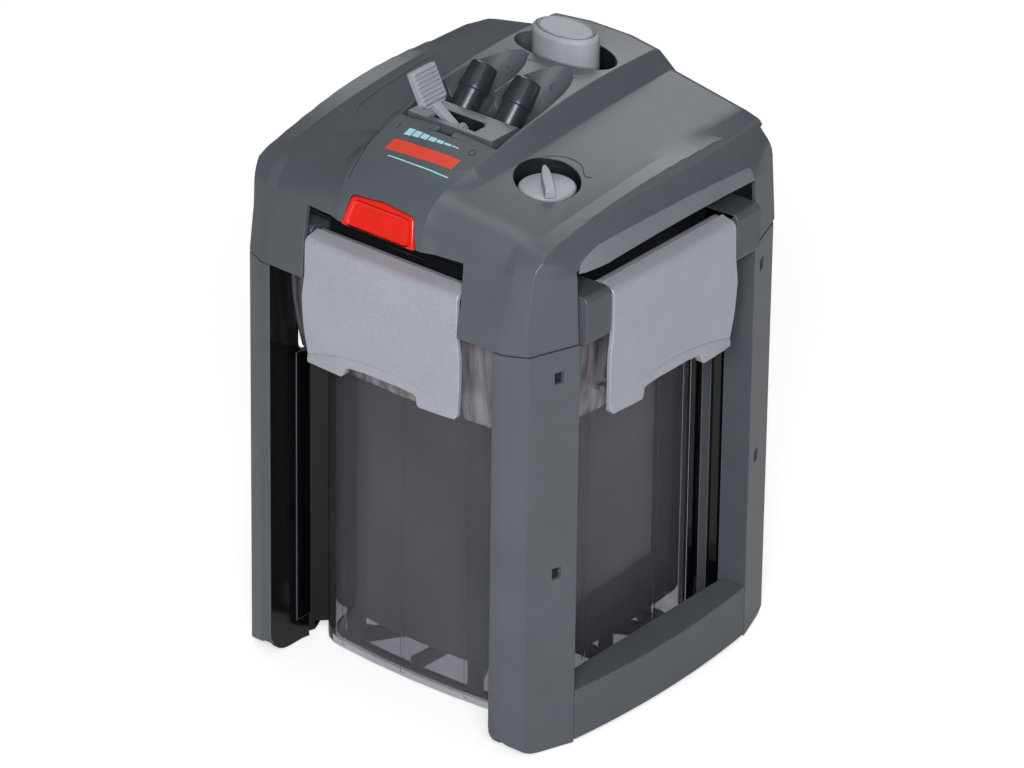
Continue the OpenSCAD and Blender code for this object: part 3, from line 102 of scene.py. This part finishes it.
# Colours and shader nodes
def colour(code, alpha=1):
    parts = [int(code[i:i + 2], 16) / 255 for i in (1, 3, 5)]
    linear = [c / 12.92 if c < 0.04045 else ((c + 0.055) / 1.055) ** 2.4 for c in parts]
    return (*linear, alpha)


def addNode(tree, kind, values=None, links=None, **settings):
    node = tree.nodes.new(kind)
    for key, value in settings.items():
        setattr(node, key, value)
    for key, value in (values or {}).items():
        node.inputs[key].default_value = value
    for key, source in (links or {}).items():
        tree.links.new(source, node.inputs[key])
    return node


def newMaterial(name):
    material = bpy.data.materials.new(name)
    material.use_nodes = True
    tree = material.node_tree
    shader = tree.nodes["Principled BSDF"]
    place = addNode(tree, "ShaderNodeTexCoord").outputs["Object"]
    return material, tree, shader, place


rampEnds = {"moulded": (0.3, 0.7), "clear": (0.35, 0.65)}  # noise values of the dark and the light end


# cloud and grain are lengths in mm. The true grain of a mould is near 0.1 mm, too fine to show,
# so it is drawn several times as coarse
def mouldedPlastic(name, v):
    material, tree, shader, place = newMaterial(name)
    cloud = addNode(tree, "ShaderNodeTexNoise",
                    {"Scale": 1 / (v["cloud"] * mm), "Detail": 3}, {"Vector": place})
    grain = addNode(tree, "ShaderNodeTexNoise",
                    {"Scale": 1 / (v["grain"] * mm), "Detail": 2, "Roughness": 0.6}, {"Vector": place})
    both = addNode(tree, "ShaderNodeMix", {"Factor": v["speckle"]},
                   {"A": cloud.outputs["Fac"], "B": grain.outputs["Fac"]}, data_type="FLOAT")
    tone = addNode(tree, "ShaderNodeValToRGB", links={"Fac": both.outputs["Result"]})
    tone.color_ramp.elements[0].position = rampEnds["moulded"][0]
    tone.color_ramp.elements[0].color = colour(v["dark"])
    tone.color_ramp.elements[1].position = rampEnds["moulded"][1]
    tone.color_ramp.elements[1].color = colour(v["light"])
    tree.links.new(tone.outputs["Color"], shader.inputs["Base Color"])
    gloss = addNode(tree, "ShaderNodeMapRange",
                    {"To Min": v["rough"] - v["roughSpread"], "To Max": v["rough"] + v["roughSpread"]},
                    {"Value": grain.outputs["Fac"]})
    tree.links.new(gloss.outputs["Result"], shader.inputs["Roughness"])
    relief = addNode(tree, "ShaderNodeBump", {"Strength": v["relief"], "Distance": v["depth"] * mm},
                     {"Height": grain.outputs["Fac"]})
    tree.links.new(relief.outputs["Normal"], shader.inputs["Normal"])
    for key in ("IOR", "Metallic", "Specular IOR Level", "Coat Weight", "Coat Roughness"):
        if key in v:
            shader.inputs[key].default_value = v[key]
    return material


# ABS from a spark-eroded mould: an even satin grain, which breaks up every highlight
housingAbs = mouldedPlastic("housing ABS spark-eroded", {
    "light": "#5e646b", "dark": "#53595f", "cloud": 40, "grain": 0.8, "speckle": 0.5,
    "rough": 0.36, "roughSpread": 0.06, "relief": 0.3, "depth": 0.1, "IOR": 1.5,
})
# The same ABS in the lower head, moulded a little darker
headAbs = mouldedPlastic("pump head ABS", {
    "light": "#5a5f66", "dark": "#4f545a", "cloud": 30, "grain": 0.8, "speckle": 0.4,
    "rough": 0.36, "roughSpread": 0.05, "relief": 0.2, "depth": 0.1, "IOR": 1.5,
})
# The lip over the side openings: a little glossier, and drawn lighter than the housing as a painted
# highlight for the light its flare catches
browLitAbs = mouldedPlastic("housing ABS lip painted light", {
    "light": "#80868c", "dark": "#757b81", "cloud": 40, "grain": 0.8, "speckle": 0.5,
    "rough": 0.3, "roughSpread": 0.05, "relief": 0.2, "depth": 0.1, "IOR": 1.5,
})
# Polished ABS, painted near black as painted shade where the posts guide the tub and on the tub's fins:
# it mirrors the lamps in thin lines
guideShadeAbs = mouldedPlastic("guide ABS polished painted shade", {
    "light": "#0b0b0e", "dark": "#060608", "cloud": 30, "grain": 1.5, "speckle": 0.2,
    "rough": 0.12, "roughSpread": 0.02, "relief": 0.02, "depth": 0.05, "IOR": 1.5,
})
# Well walls lie in their own shade, which is painted on them as near-black ABS
wellShadeAbs = mouldedPlastic("well ABS painted shade", {
    "light": "#1f2225", "dark": "#17191c", "cloud": 20, "grain": 0.8, "speckle": 0.4,
    "rough": 0.4, "roughSpread": 0.05, "relief": 0.2, "depth": 0.1, "IOR": 1.5,
})
# ABS with aluminium flake in it: silver grey with a fine sparkle
clipAbs = mouldedPlastic("clip ABS with flake", {
    "light": "#bdbfca", "dark": "#a7a9b4", "cloud": 25, "grain": 0.9, "speckle": 0.75,
    "rough": 0.42, "roughSpread": 0.1, "relief": 0.25, "depth": 0.1, "Metallic": 0.15,
})
# Plain light grey ABS for what the hand works
controlAbs = mouldedPlastic("control ABS", {
    "light": "#acb0b9", "dark": "#9ca0a8", "cloud": 14, "grain": 0.8, "speckle": 0.5,
    "rough": 0.45, "roughSpread": 0.06, "relief": 0.25, "depth": 0.1, "IOR": 1.5,
})
# Polished polypropylene with metal pigment for the hose barbs: hard highlights along the tube
spigotPp = mouldedPlastic("spigot polypropylene", {
    "light": "#767c84", "dark": "#666c73", "cloud": 12, "grain": 1.2, "speckle": 0.2,
    "rough": 0.24, "roughSpread": 0.03, "relief": 0.05, "depth": 0.05, "Metallic": 0.85,
})
# Polished ABS, red all through
redAbs = mouldedPlastic("button ABS polished", {
    "light": "#f43226", "dark": "#e92a1f", "cloud": 15, "grain": 2.0, "speckle": 0.3,
    "rough": 0.16, "roughSpread": 0.02, "relief": 0.03, "depth": 0.05, "IOR": 1.5,
})
# Baskets: dark polypropylene, matt from the mould
basketPp = mouldedPlastic("basket polypropylene", {
    "light": "#3c3b40", "dark": "#343338", "cloud": 60, "grain": 0.6, "speckle": 0.2,
    "rough": 0.5, "roughSpread": 0.03, "relief": 0.05, "depth": 0.05, "IOR": 1.49,
})
# The same, black and a little glossier, for what lies deeper
innerPp = mouldedPlastic("inner polypropylene", {
    "light": "#2c2d30", "dark": "#222326", "cloud": 20, "grain": 0.6, "speckle": 0.2,
    "rough": 0.4, "roughSpread": 0.03, "relief": 0.05, "depth": 0.05, "IOR": 1.49,
})
# Nitrile rubber: near black and dull
rubberNbr = mouldedPlastic("nitrile rubber", {
    "light": "#1d1d1e", "dark": "#141415", "cloud": 10, "grain": 0.6, "speckle": 0.5,
    "rough": 0.75, "roughSpread": 0.08, "relief": 0.4, "depth": 0.1, "IOR": 1.52,
})
# Stainless wire and pins, drawn bright: hard, narrow highlights
pinSteel = mouldedPlastic("stainless steel drawn", {
    "light": "#b9b9b7", "dark": "#a4a4a3", "cloud": 8, "grain": 0.4, "speckle": 0.6,
    "rough": 0.28, "roughSpread": 0.08, "relief": 0.15, "depth": 0.04, "Metallic": 1.0,
})
# Sintered ceramic of the shaft and the rings: off-white, chalky and finely pitted
ceramicWhite = mouldedPlastic("sintered ceramic", {
    "light": "#dedad0", "dark": "#c5c0b4", "cloud": 6, "grain": 0.8, "speckle": 0.6,
    "rough": 0.7, "roughSpread": 0.1, "relief": 0.6, "depth": 0.3, "IOR": 1.6,
})
# Fired clay: brown, rough, and blotched by the kiln
bioClay = mouldedPlastic("sintered clay balls", {
    "light": "#8a6a50", "dark": "#5d4433", "cloud": 6, "grain": 3.0, "speckle": 0.8,
    "rough": 0.85, "roughSpread": 0.1, "relief": 0.9, "depth": 1.0, "IOR": 1.5,
})
# Open-cell foam: wholly matt, with dark cells between its blue webs
foamBlue = mouldedPlastic("polyurethane foam", {
    "light": "#3a5f86", "dark": "#20344c", "cloud": 5, "grain": 1.6, "speckle": 0.9,
    "rough": 0.95, "roughSpread": 0.05, "relief": 1.0, "depth": 0.8, "IOR": 1.4,
})
# Pad-printed ink on the cover: a thin, slightly raised, even film
redInk = mouldedPlastic("red printing ink", {
    "light": "#f0503a", "dark": "#e24630", "cloud": 10, "grain": 0.8, "speckle": 0.5,
    "rough": 0.35, "roughSpread": 0.05, "relief": 0.1, "depth": 0.05, "IOR": 1.5,
})
blueInk = mouldedPlastic("pale blue printing ink", {
    "light": "#b9ecf8", "dark": "#a6ddea", "cloud": 10, "grain": 0.8, "speckle": 0.5,
    "rough": 0.35, "roughSpread": 0.05, "relief": 0.1, "depth": 0.05, "IOR": 1.5,
})
# Lines moulded into the grain: they read as thin shade
scribedAbs = mouldedPlastic("scribed line ABS", {
    "light": "#2b2e32", "dark": "#232629", "cloud": 20, "grain": 0.8, "speckle": 0.4,
    "rough": 0.5, "roughSpread": 0.05, "relief": 0.1, "depth": 0.05, "IOR": 1.5,
})


def clearPlastic(name, v):
    material, tree, shader, place = newMaterial(name)
    stretched = addNode(tree, "ShaderNodeMapping", {"Scale": (1, 1, v["draw"])}, {"Vector": place})
    haze = addNode(tree, "ShaderNodeTexNoise", {"Scale": 1 / (v["flow"] * mm), "Detail": 2},
                   {"Vector": stretched.outputs["Vector"]})
    tone = addNode(tree, "ShaderNodeValToRGB", links={"Fac": haze.outputs["Fac"]})
    tone.color_ramp.elements[0].position = rampEnds["clear"][0]
    tone.color_ramp.elements[0].color = colour(v["dark"])
    tone.color_ramp.elements[1].position = rampEnds["clear"][1]
    tone.color_ramp.elements[1].color = colour(v["light"])
    tree.links.new(tone.outputs["Color"], shader.inputs["Base Color"])
    relief = addNode(tree, "ShaderNodeBump", {"Strength": v["relief"], "Distance": v["depth"] * mm},
                     {"Height": haze.outputs["Fac"]})
    tree.links.new(relief.outputs["Normal"], shader.inputs["Normal"])
    shader.inputs["Roughness"].default_value = v["rough"]
    shader.inputs["IOR"].default_value = v["ior"]
    shader.inputs["Transmission Weight"].default_value = v["clear"]
    shader.inputs["Coat Weight"].default_value = v["coat"]
    shader.inputs["Coat Roughness"].default_value = v["rough"]
    return material


# Styrene acrylonitrile, smoke tinted: clear, with faint flow marks from the mould.
# Its two skins are parallel, so it bends what lies behind it very little.
tubSan = clearPlastic("tub SAN smoke tint", {
    "light": "#c9c8ce", "dark": "#bebdc4", "flow": 60, "draw": 1.0, "relief": 0.02, "depth": 0.5,
    "rough": 0.03, "ior": 1.06, "clear": 0.95, "coat": 0.4,
})
# The thick collar is milkier; its upright light and dark streaks are painted reflections of its slope
collarStreakSan = clearPlastic("tub SAN thick collar painted streaks", {
    "light": "#aaa6ad", "dark": "#5f5c62", "flow": 6, "draw": 0.06, "relief": 0.3, "depth": 0.6,
    "rough": 0.1, "ior": 1.1, "clear": 0.25, "coat": 0.6,
})
# Where the wall turns a corner or meets the floor the eye looks along it; there the tub is painted
# nearly black, as painted shade
edgeShadeSan = clearPlastic("tub SAN painted dark along the wall", {
    "light": "#4a494f", "dark": "#3b3a40", "flow": 20, "draw": 0.3, "relief": 0.02, "depth": 0.5,
    "rough": 0.08, "ior": 1.1, "clear": 0.2, "coat": 0.2,
})

finishes = {
    "canister": tubSan, "head_cover": housingAbs, "adapter_body": housingAbs,
    "pump_head_case": headAbs, "red_button": redAbs, "lever": controlAbs, "flow_knob": controlAbs,
    "primer_button": controlAbs, "valve_slide": controlAbs, "bypass_spool": controlAbs,
    "primer_piston": innerPp, "motor_block": innerPp, "impeller": innerPp, "pump_chamber_lid": innerPp,
    "inlet_pipe": innerPp, "floor_grid": innerPp, "primer_spring": pinSteel, "cover_screws": pinSteel,
    "lever_pin": pinSteel, "impeller_shaft": ceramicWhite, "ceramic_media": ceramicWhite,
    "bio_media": bioClay, "filter_pads": foamBlue, "prefilter_sponge": foamBlue,
    "rubber_feet": rubberNbr, "seal_ring": rubberNbr, "adapter_seals": rubberNbr,
    "cable_gland": rubberNbr, "shaft_bushes": rubberNbr,
    "post_": housingAbs, "base_bar": housingAbs, "clip_pin": pinSteel, "clip_": clipAbs,
    "spigot": spigotPp, "basket": basketPp, "prefilter_tray": basketPp,
}
for name, node in nodes.items():
    finish = finishes.get(name) or next(m for key, m in finishes.items() if name.startswith(key))
    node.data.materials.clear()
    node.data.materials.append(finish)
print("materials made")


# Dressed copies of the moulded pieces: same place and size, with soft moulded edges
def selectOnly(*objects):
    bpy.ops.object.select_all(action="DESELECT")
    for o in objects:
        o.select_set(True)
    bpy.context.view_layer.objects.active = objects[0]


def applyAll(piece):
    selectOnly(piece)
    for modifier in list(piece.modifiers):
        bpy.ops.object.modifier_apply(modifier=modifier.name)


cleaning = {"merge": 0.01, "flat": 0.3, "speck": 0.02, "segments": 2}  # mm, degrees, mm


def dress(name, v):
    source = nodes[name]
    piece = bpy.data.objects.new(name + "_moulded", source.data.copy())
    bpy.context.scene.collection.objects.link(piece)
    selectOnly(piece)
    if piece.data.has_custom_normals:
        bpy.ops.mesh.customdata_custom_splitnormals_clear()
    bpy.ops.object.mode_set(mode="EDIT")
    bpy.ops.mesh.select_all(action="SELECT")
    bpy.ops.mesh.remove_doubles(threshold=cleaning["merge"] * mm)
    if v.get("joinFlats", True):
        bpy.ops.mesh.dissolve_limited(angle_limit=math.radians(cleaning["flat"]))
    bpy.ops.object.mode_set(mode="OBJECT")
    bpy.ops.object.shade_smooth_by_angle(angle=math.radians(v["smooth"]))
    if "crease" in v:
        sharpenLines(piece, v)
    if v["radius"]:
        rounding = piece.modifiers.new("edges", "BEVEL")
        rounding.width = v["radius"] * mm
        rounding.segments = cleaning["segments"]
        rounding.limit_method = "ANGLE"
        rounding.angle_limit = math.radians(v["corner"])
        rounding.use_clamp_overlap = False  # one short edge would keep every corner sharp
        applyAll(piece)
        bpy.ops.object.mode_set(mode="EDIT")
        bpy.ops.mesh.select_all(action="SELECT")
        bpy.ops.mesh.dissolve_degenerate(threshold=cleaning["speck"] * mm)
        bpy.ops.object.mode_set(mode="OBJECT")
        weights = piece.modifiers.new("flats", "WEIGHTED_NORMAL")
        weights.keep_sharp = True
        applyAll(piece)
    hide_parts(name)
    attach(piece, source["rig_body"])
    return piece


def sharpenLines(piece, v):  # lines that run front to back over the cover stay crisp
    mesh = piece.data
    faces = {}
    for face in mesh.polygons:
        for key in face.edge_keys:
            faces.setdefault(key, []).append(face.normal)
    for edge in mesh.edges:
        a, b = (mesh.vertices[i].co for i in edge.vertices)
        sides = faces.get(edge.key, [])
        if len(sides) != 2 or min(a.z, b.z) < v["above"] * mm:
            continue
        turn = math.degrees(sides[0].angle(sides[1], 0))
        frontToBack = abs((b - a).x) < v["slant"] * (b - a).length
        if turn > v["crease"] and frontToBack and min(n.z for n in sides) > 0:
            edge.use_edge_sharp = True


def paint(piece, material, chosen):  # a second finish on the faces that a test picks
    piece.data.materials.append(material)
    index = len(piece.data.materials) - 1
    for face in piece.data.polygons:
        if chosen(face.center, face.normal):
            face.material_index = index


dressing = {
    "head_cover": {"radius": 0.5, "smooth": 32, "corner": 38, "crease": 8.5, "above": 285, "slant": 0.3,
                   "joinFlats": False},
    "canister": {"radius": 0, "smooth": 32},
    "post_": {"radius": 0.5, "smooth": 30, "corner": 30},
    "base_bar": {"radius": 0.5, "smooth": 30, "corner": 30},
    "clip_pin": None,  # the pins stay as they are
    "lever_pin": None,
    "clip_": {"radius": 0.5, "smooth": 32, "corner": 40},
    "adapter_body": {"radius": 0.3, "smooth": 30, "corner": 38, "joinFlats": False},
    "flow_knob": {"radius": 0.5, "smooth": 32, "corner": 38},
    "lever": {"radius": 0.3, "smooth": 32, "corner": 38},
    "red_button": {"radius": 1.1, "smooth": 32, "corner": 40},
    "pump_head_case": {"radius": 0.5, "smooth": 32, "corner": 38},
    "spigot": {"radius": 0.5, "smooth": 32, "corner": 38},
    "primer_button": {"radius": 0.6, "smooth": 32, "corner": 40},
}
dressed = {}
for name in nodes:
    v = dressing.get(name) or next((d for key, d in dressing.items() if name.startswith(key)), None)
    if v:
        dressed[name] = dress(name, v)
cover = dressed["head_cover"]


# Where the painted shade and painted streaks lie: lengths in mm, the rest are parts of a unit normal
region = {
    "collarFoot": 190, "floorEdge": 9, "finStart": 73, "turned": 0.3, "flat": 0.97, "finSkew": 0.05,
    "postReach": 96, "inward": 0.2, "upright": 0.5, "steep": 0.7,
    "caseBand": 268, "caseFace": 104, "lugEdge": 62,
    "slotTop": 351.5, "slotHalf": 15.8, "slotFront": -58, "slotRear": -42,
    "wells": (("flow_knob", 4.5), ("primer_button", 9)),  # how far each well is wider than its piece
}


def onCollar(c, n):
    return c.z > region["collarFoot"] * mm


def seenAlongWall(c, n):
    onCorner = min(abs(n.x), abs(n.y)) > region["turned"] and abs(n.z) < region["upright"]
    atFloor = c.z < region["floorEdge"] * mm and abs(n.z) < region["flat"]
    return c.z < region["collarFoot"] * mm and (onCorner or atFloor)


def onFin(c, n):  # the fins at the corners slide in the posts
    inCorner = min(abs(c.x), abs(c.y)) > region["finStart"] * mm
    return c.z < region["collarFoot"] * mm and inCorner and abs(abs(n.x) - abs(n.y)) < region["finSkew"]


def facesTub(c, n):
    inward = n.x * c.x + n.y * c.y < region["inward"] * math.hypot(c.x, c.y)
    return inward and abs(c.x) < region["postReach"] * mm and abs(n.z) < region["upright"]


def behindClips(c, n):
    less, more = sorted((abs(c.x), abs(c.y)))
    inBand = c.z > region["caseBand"] * mm and abs(n.z) < region["steep"]
    return inBand and more < region["caseFace"] * mm and less < region["lugEdge"] * mm


def inLeverSlot(c, n):
    inDepth = region["slotFront"] * mm < c.y < region["slotRear"] * mm
    return c.z < region["slotTop"] * mm and abs(c.x) < region["slotHalf"] * mm and inDepth


wells = [(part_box(name), grow) for name, grow in region["wells"]]


def inWell(c, n):
    for (low, high), grow in wells:
        middle = ((low[0] + high[0]) / 2, (low[1] + high[1]) / 2)
        reach = ((high[0] - low[0]) / 2 + grow * mm, (high[1] - low[1]) / 2 + grow * mm)
        out = math.hypot((c.x - middle[0]) / reach[0], (c.y - middle[1]) / reach[1])
        if out < 1 and n.z < region["steep"]:
            return True
    return False


# painted reflection streaks on the collar
paint(dressed["canister"], collarStreakSan, onCollar)
# painted shade where the eye looks along the tub's wall
paint(dressed["canister"], edgeShadeSan, seenAlongWall)
# painted shade: the tub's fins are painted near black
paint(dressed["canister"], guideShadeAbs, onFin)
# painted shade: the posts' inner walls are painted near black
for name, piece in dressed.items():
    if name.startswith("post_"):
        paint(piece, guideShadeAbs, facesTub)
# painted shade behind the clips, in the lever slot and in the wells
paint(dressed["pump_head_case"], wellShadeAbs, behindClips)
paint(dressed["adapter_body"], wellShadeAbs, inLeverSlot)
paint(cover, wellShadeAbs, inWell)
print("moulded edges made")


# Prints and scribed lines lie on the moulded surface, found by a ray from above
bpy.context.view_layer.update()
film = {"thickness": 0.06, "lift": 0.03, "smooth": 30}  # mm, mm, degrees


def onSurface(under, x, y, lift):
    hit, place, normal, face = under.ray_cast(Vector((x * mm, y * mm, far)), Vector((0, 0, -1)))
    if not hit:
        raise ValueError(f"nothing under {x}, {y}")
    return place + normal * lift * mm


def inkPatch(name, corners, cuts, ink, under, body):
    bpy.ops.object.select_all(action="DESELECT")
    bpy.ops.mesh.primitive_grid_add(x_subdivisions=cuts, y_subdivisions=cuts, size=1)
    patch = bpy.context.object
    patch.name = name
    a, b, c, d = (Vector(p) for p in corners)
    for vertex in patch.data.vertices:
        u, w = vertex.co.x + 0.5, vertex.co.y + 0.5
        p = a.lerp(b, u).lerp(d.lerp(c, u), w)
        vertex.co = onSurface(under, p.x, p.y, film["lift"])
    layer = patch.modifiers.new("film", "SOLIDIFY")
    layer.thickness = film["thickness"] * mm
    layer.offset = -1
    applyAll(patch)
    bpy.ops.object.shade_smooth_by_angle(angle=math.radians(film["smooth"]))
    patch.data.materials.append(ink)
    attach(patch, body)


def scribedLine(name, points, v, under, body):
    smoothPoints = [Vector(p) for p in points]
    for _ in range(v["rounds"]):  # cut each corner off, so that the line turns softly
        cut = [smoothPoints[0]]
        for a, b in zip(smoothPoints, smoothPoints[1:]):
            cut += [a.lerp(b, v["cut"]), a.lerp(b, 1 - v["cut"])]
        smoothPoints = cut + [smoothPoints[-1]]
    route = []
    for a, b in zip(smoothPoints, smoothPoints[1:]):
        steps = max(1, round((b - a).length / v["step"]))
        route += [a.lerp(b, i / steps) for i in range(steps)]
    route.append(smoothPoints[-1])
    bpy.ops.object.select_all(action="DESELECT")
    bpy.ops.curve.primitive_nurbs_path_add()
    line = bpy.context.object
    line.name = name
    spline = line.data.splines[0]
    spline.points.add(len(route) - len(spline.points))
    for point, p in zip(spline.points, route):
        point.co = (*onSurface(under, p.x, p.y, 0), 1)
    spline.order_u = v["order"]
    spline.use_endpoint_u = True
    spline.resolution_u = v["between"]
    line.data.bevel_depth = v["width"] / 2 * mm
    line.data.bevel_resolution = v["arc"]
    line.data.use_fill_caps = True
    bpy.ops.object.convert(target="MESH")
    line = bpy.context.object
    line.data.materials.append(scribedAbs)
    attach(line, body)


# A flow wedge: each block is lower than the one before
wedge = {
    "left": -20.7, "right": 17.5, "top": -68.5, "tip": -70.3, "foot": -74.2,
    "blocks": 7, "gap": 0.8, "cuts": 4,
}
span = (wedge["right"] - wedge["left"]) / wedge["blocks"]
for i in range(wedge["blocks"]):
    x0 = wedge["left"] + i * span
    x1 = x0 + span - wedge["gap"]
    share = i / wedge["blocks"]
    top = wedge["top"] + share * (wedge["tip"] - wedge["top"])
    foot = top + (wedge["foot"] - wedge["top"]) * (1 - share)
    inkPatch(f"flow_wedge_{i}", ((x0, foot), (x1, foot), (x1, top), (x0, top)), wedge["cuts"], blueInk,
             cover, "frame_and_head")

# Below it a slanted bar and a thin line, each given by its corners
printBar = {"corners": ((-22.6, -88.7), (24.0, -86.0), (24.0, -77.6), (-22.6, -79.4)), "cuts": 28}
printLine = {"corners": ((-16.7, -93.2), (26.8, -92.6), (26.8, -91.7), (-16.7, -92.3)), "cuts": 16}
inkPatch("cover_print_bar", printBar["corners"], printBar["cuts"], redInk, cover,
         "frame_and_head")
inkPatch("cover_print_line", printLine["corners"], printLine["cuts"], blueInk, cover,
         "frame_and_head")
print("prints made")

scribe = {"width": 0.55, "step": 2.0, "rounds": 2, "cut": 0.25, "order": 3, "between": 2, "arc": 1}
scribes = {
    "knob_scale": [(51.3, -35.7), (53.8, -31.2), (59.3, -26.7), (65, -25.2), (70.9, -25.7),
                   (77.4, -33.0), (81.0, -30.2)],
    "on_mark": [(-28.1, -67.6), (-28.1, -71.4)],
    "off_mark": [(27.6, -69.4), (26.9, -67.6), (25.5, -66.9), (24.1, -67.6), (23.4, -69.4),
                 (24.1, -71.2), (25.5, -71.9), (26.9, -71.2), (27.6, -69.4)],
    "inlet_mark_a": [(-18.3, 15.2), (-16.7, 15.2)],
    "inlet_mark_b": [(-13.6, 13.0), (-12.0, 13.0)],
    "inlet_mark_c": [(-14.8, 10.0), (-13.2, 10.0)],
    "outlet_mark_a": [(15.4, 12.9), (17.3, 15.9)],
    "outlet_mark_b": [(15.4, 12.9), (19.3, 10.7)],
    "shoulder_line": [(-74.6, -51.0), (-78.7, -46.4), (-81.8, -36.0), (-82.5, -17.3), (-83.1, -4.6),
                      (-84.0, 9.9), (-85.1, 24.0), (-83.0, 27.8), (-79.4, 29.6)],
    "panel_line": [(-28.8, -112.3), (-29.8, -105.0), (-32.3, -95.0), (-38.7, -78.7), (-48.7, -57.2),
                   (-50.8, -48.5), (-50.5, -41.7)],
}
for name, points in scribes.items():
    scribedLine(name, points, scribe, cover, "frame_and_head")
print("scribed lines made")


# Brows: the cover's wall flares out above each side opening and throws it into shade.
# The opening's edge is looked for between low and high; crest is where the lip is widest.
brow = {
    "front": -79, "rear": 78, "low": 295, "high": 330, "wallAt": 100, "halvings": 14,
    "cuts": 48, "rows": 6, "height": 8.5, "least": 0.35, "flare": 5.0, "crest": 0.72,
    "start": 0.12, "swell": 0.6, "taper": 0.45, "foot": -2.0, "sink": 0.6, "above": 1.5,
    "wall": 0.5, "smooth": 25,
}


def sideHit(s, y, z):  # where a level ray from the side meets the cover
    return cover.ray_cast(Vector((s * far, y, z)), Vector((-s, 0, 0)))


def openingTop(s, y, v):  # height of the opening's upper edge, found by halving
    low, high = v["low"] * mm, v["high"] * mm
    for _ in range(v["halvings"]):
        z = (low + high) / 2
        hit, place, normal, face = sideHit(s, y, z)
        if hit and abs(place.x) > v["wallAt"] * mm:
            high = z
        else:
            low = z
    return high


def makeBrow(name, s, v):
    bpy.ops.object.select_all(action="DESELECT")
    bpy.ops.mesh.primitive_grid_add(x_subdivisions=v["cuts"], y_subdivisions=v["rows"], size=1)
    lip = bpy.context.object
    lip.name = name
    for vertex in lip.data.vertices:
        t, k = vertex.co.x + 0.5, vertex.co.y + 0.5  # along the edge, and down over the flare
        row = round(k * v["rows"])
        y = (v["front"] + (v["rear"] - v["front"]) * t) * mm
        edge = openingTop(s, y, v)
        swell = min(1, t / v["start"]) ** v["swell"] * (1 - v["taper"] * t)
        rise = v["height"] * mm * (v["least"] + (1 - v["least"]) * swell)
        z = edge + v["foot"] * mm + rise * max(0, 1 - k / v["crest"])
        hit, place, normal, face = sideHit(s, y, max(z, edge + v["above"] * mm))
        out = swell * v["flare"] * mm * min(1, k / v["crest"])
        if row in (0, v["rows"]):  # both edges lie inside the wall
            out = -v["sink"] * mm
        vertex.co = (place.x + s * out, y, z)
    wall = lip.modifiers.new("wall", "SOLIDIFY")
    wall.thickness = v["wall"] * mm
    wall.offset = -1
    applyAll(lip)
    bpy.ops.object.mode_set(mode="EDIT")
    bpy.ops.mesh.select_all(action="SELECT")
    bpy.ops.mesh.normals_make_consistent(inside=False)
    bpy.ops.object.mode_set(mode="OBJECT")
    bpy.ops.object.shade_smooth_by_angle(angle=math.radians(v["smooth"]))
    # the lip carries a painted highlight
    lip.data.materials.append(browLitAbs)
    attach(lip, "frame_and_head")


makeBrow("side_brow_right", 1, brow)
makeBrow("side_brow_left", -1, brow)
print("brows made")


# Lights: a wide lamp from the front right, one from behind, one above, and a faint sky
lighting = {
    "sky": 0.05, "aim": (0, 0, 0.2),
    "key": {"place": (1.55, -2.0, 1.6), "size": 1.3, "power": 68},
    "rear": {"place": (-0.97, 1.67, 1.74), "size": 1.1, "power": 13},
    "top": {"place": (0.05, -0.05, 2.6), "size": 1.3, "power": 12},
}


def makeLamp(v):
    bpy.ops.object.light_add(type="AREA", location=v["place"])
    lamp = bpy.context.object
    lamp.data.size = v["size"]
    lamp.data.energy = v["power"]
    toAim = Vector(lighting["aim"]) - Vector(v["place"])
    lamp.rotation_euler = toAim.to_track_quat("-Z", "Y").to_euler()


def seenDirectly(tree):
    path = addNode(tree, "ShaderNodeLightPath")
    both = addNode(tree, "ShaderNodeMath", operation="MAXIMUM",
                   links={0: path.outputs["Is Camera Ray"], 1: path.outputs["Is Transmission Ray"]})
    return both.outputs[0]


for lampName in ("key", "rear", "top"):
    makeLamp(lighting[lampName])
world = bpy.data.worlds.new("studio")
bpy.context.scene.world = world
world.use_nodes = True
tree = world.node_tree
tree.nodes.clear()
sky = addNode(tree, "ShaderNodeBackground", {"Color": (1, 1, 1, 1), "Strength": lighting["sky"]})
white = addNode(tree, "ShaderNodeBackground", {"Color": (1, 1, 1, 1), "Strength": 1})
mixed = addNode(tree, "ShaderNodeMixShader",
                links={0: seenDirectly(tree), 1: sky.outputs[0], 2: white.outputs[0]})
addNode(tree, "ShaderNodeOutputWorld", links={"Surface": mixed.outputs[0]})

# Floor: white paper that still shows the object's shadow
paper = {"size": 12, "grey": (0.8, 0.8, 0.8, 1), "glow": 0.56}
bpy.ops.mesh.primitive_plane_add(size=paper["size"], location=(0, 0, 0))
floor = bpy.context.object
floor.name = "floor"
floorMaterial = bpy.data.materials.new("white paper sweep")
floorMaterial.use_nodes = True
tree = floorMaterial.node_tree
tree.nodes.clear()
matt = addNode(tree, "ShaderNodeBsdfDiffuse", {"Color": paper["grey"]})
glow = addNode(tree, "ShaderNodeEmission", {"Color": (1, 1, 1, 1), "Strength": paper["glow"]})
bright = addNode(tree, "ShaderNodeAddShader", links={0: matt.outputs[0], 1: glow.outputs[0]})
mixed = addNode(tree, "ShaderNodeMixShader",
                links={0: seenDirectly(tree), 1: matt.outputs[0], 2: bright.outputs[0]})
addNode(tree, "ShaderNodeOutputMaterial", links={"Surface": mixed.outputs[0]})
floor.data.materials.append(floorMaterial)
print("studio set")
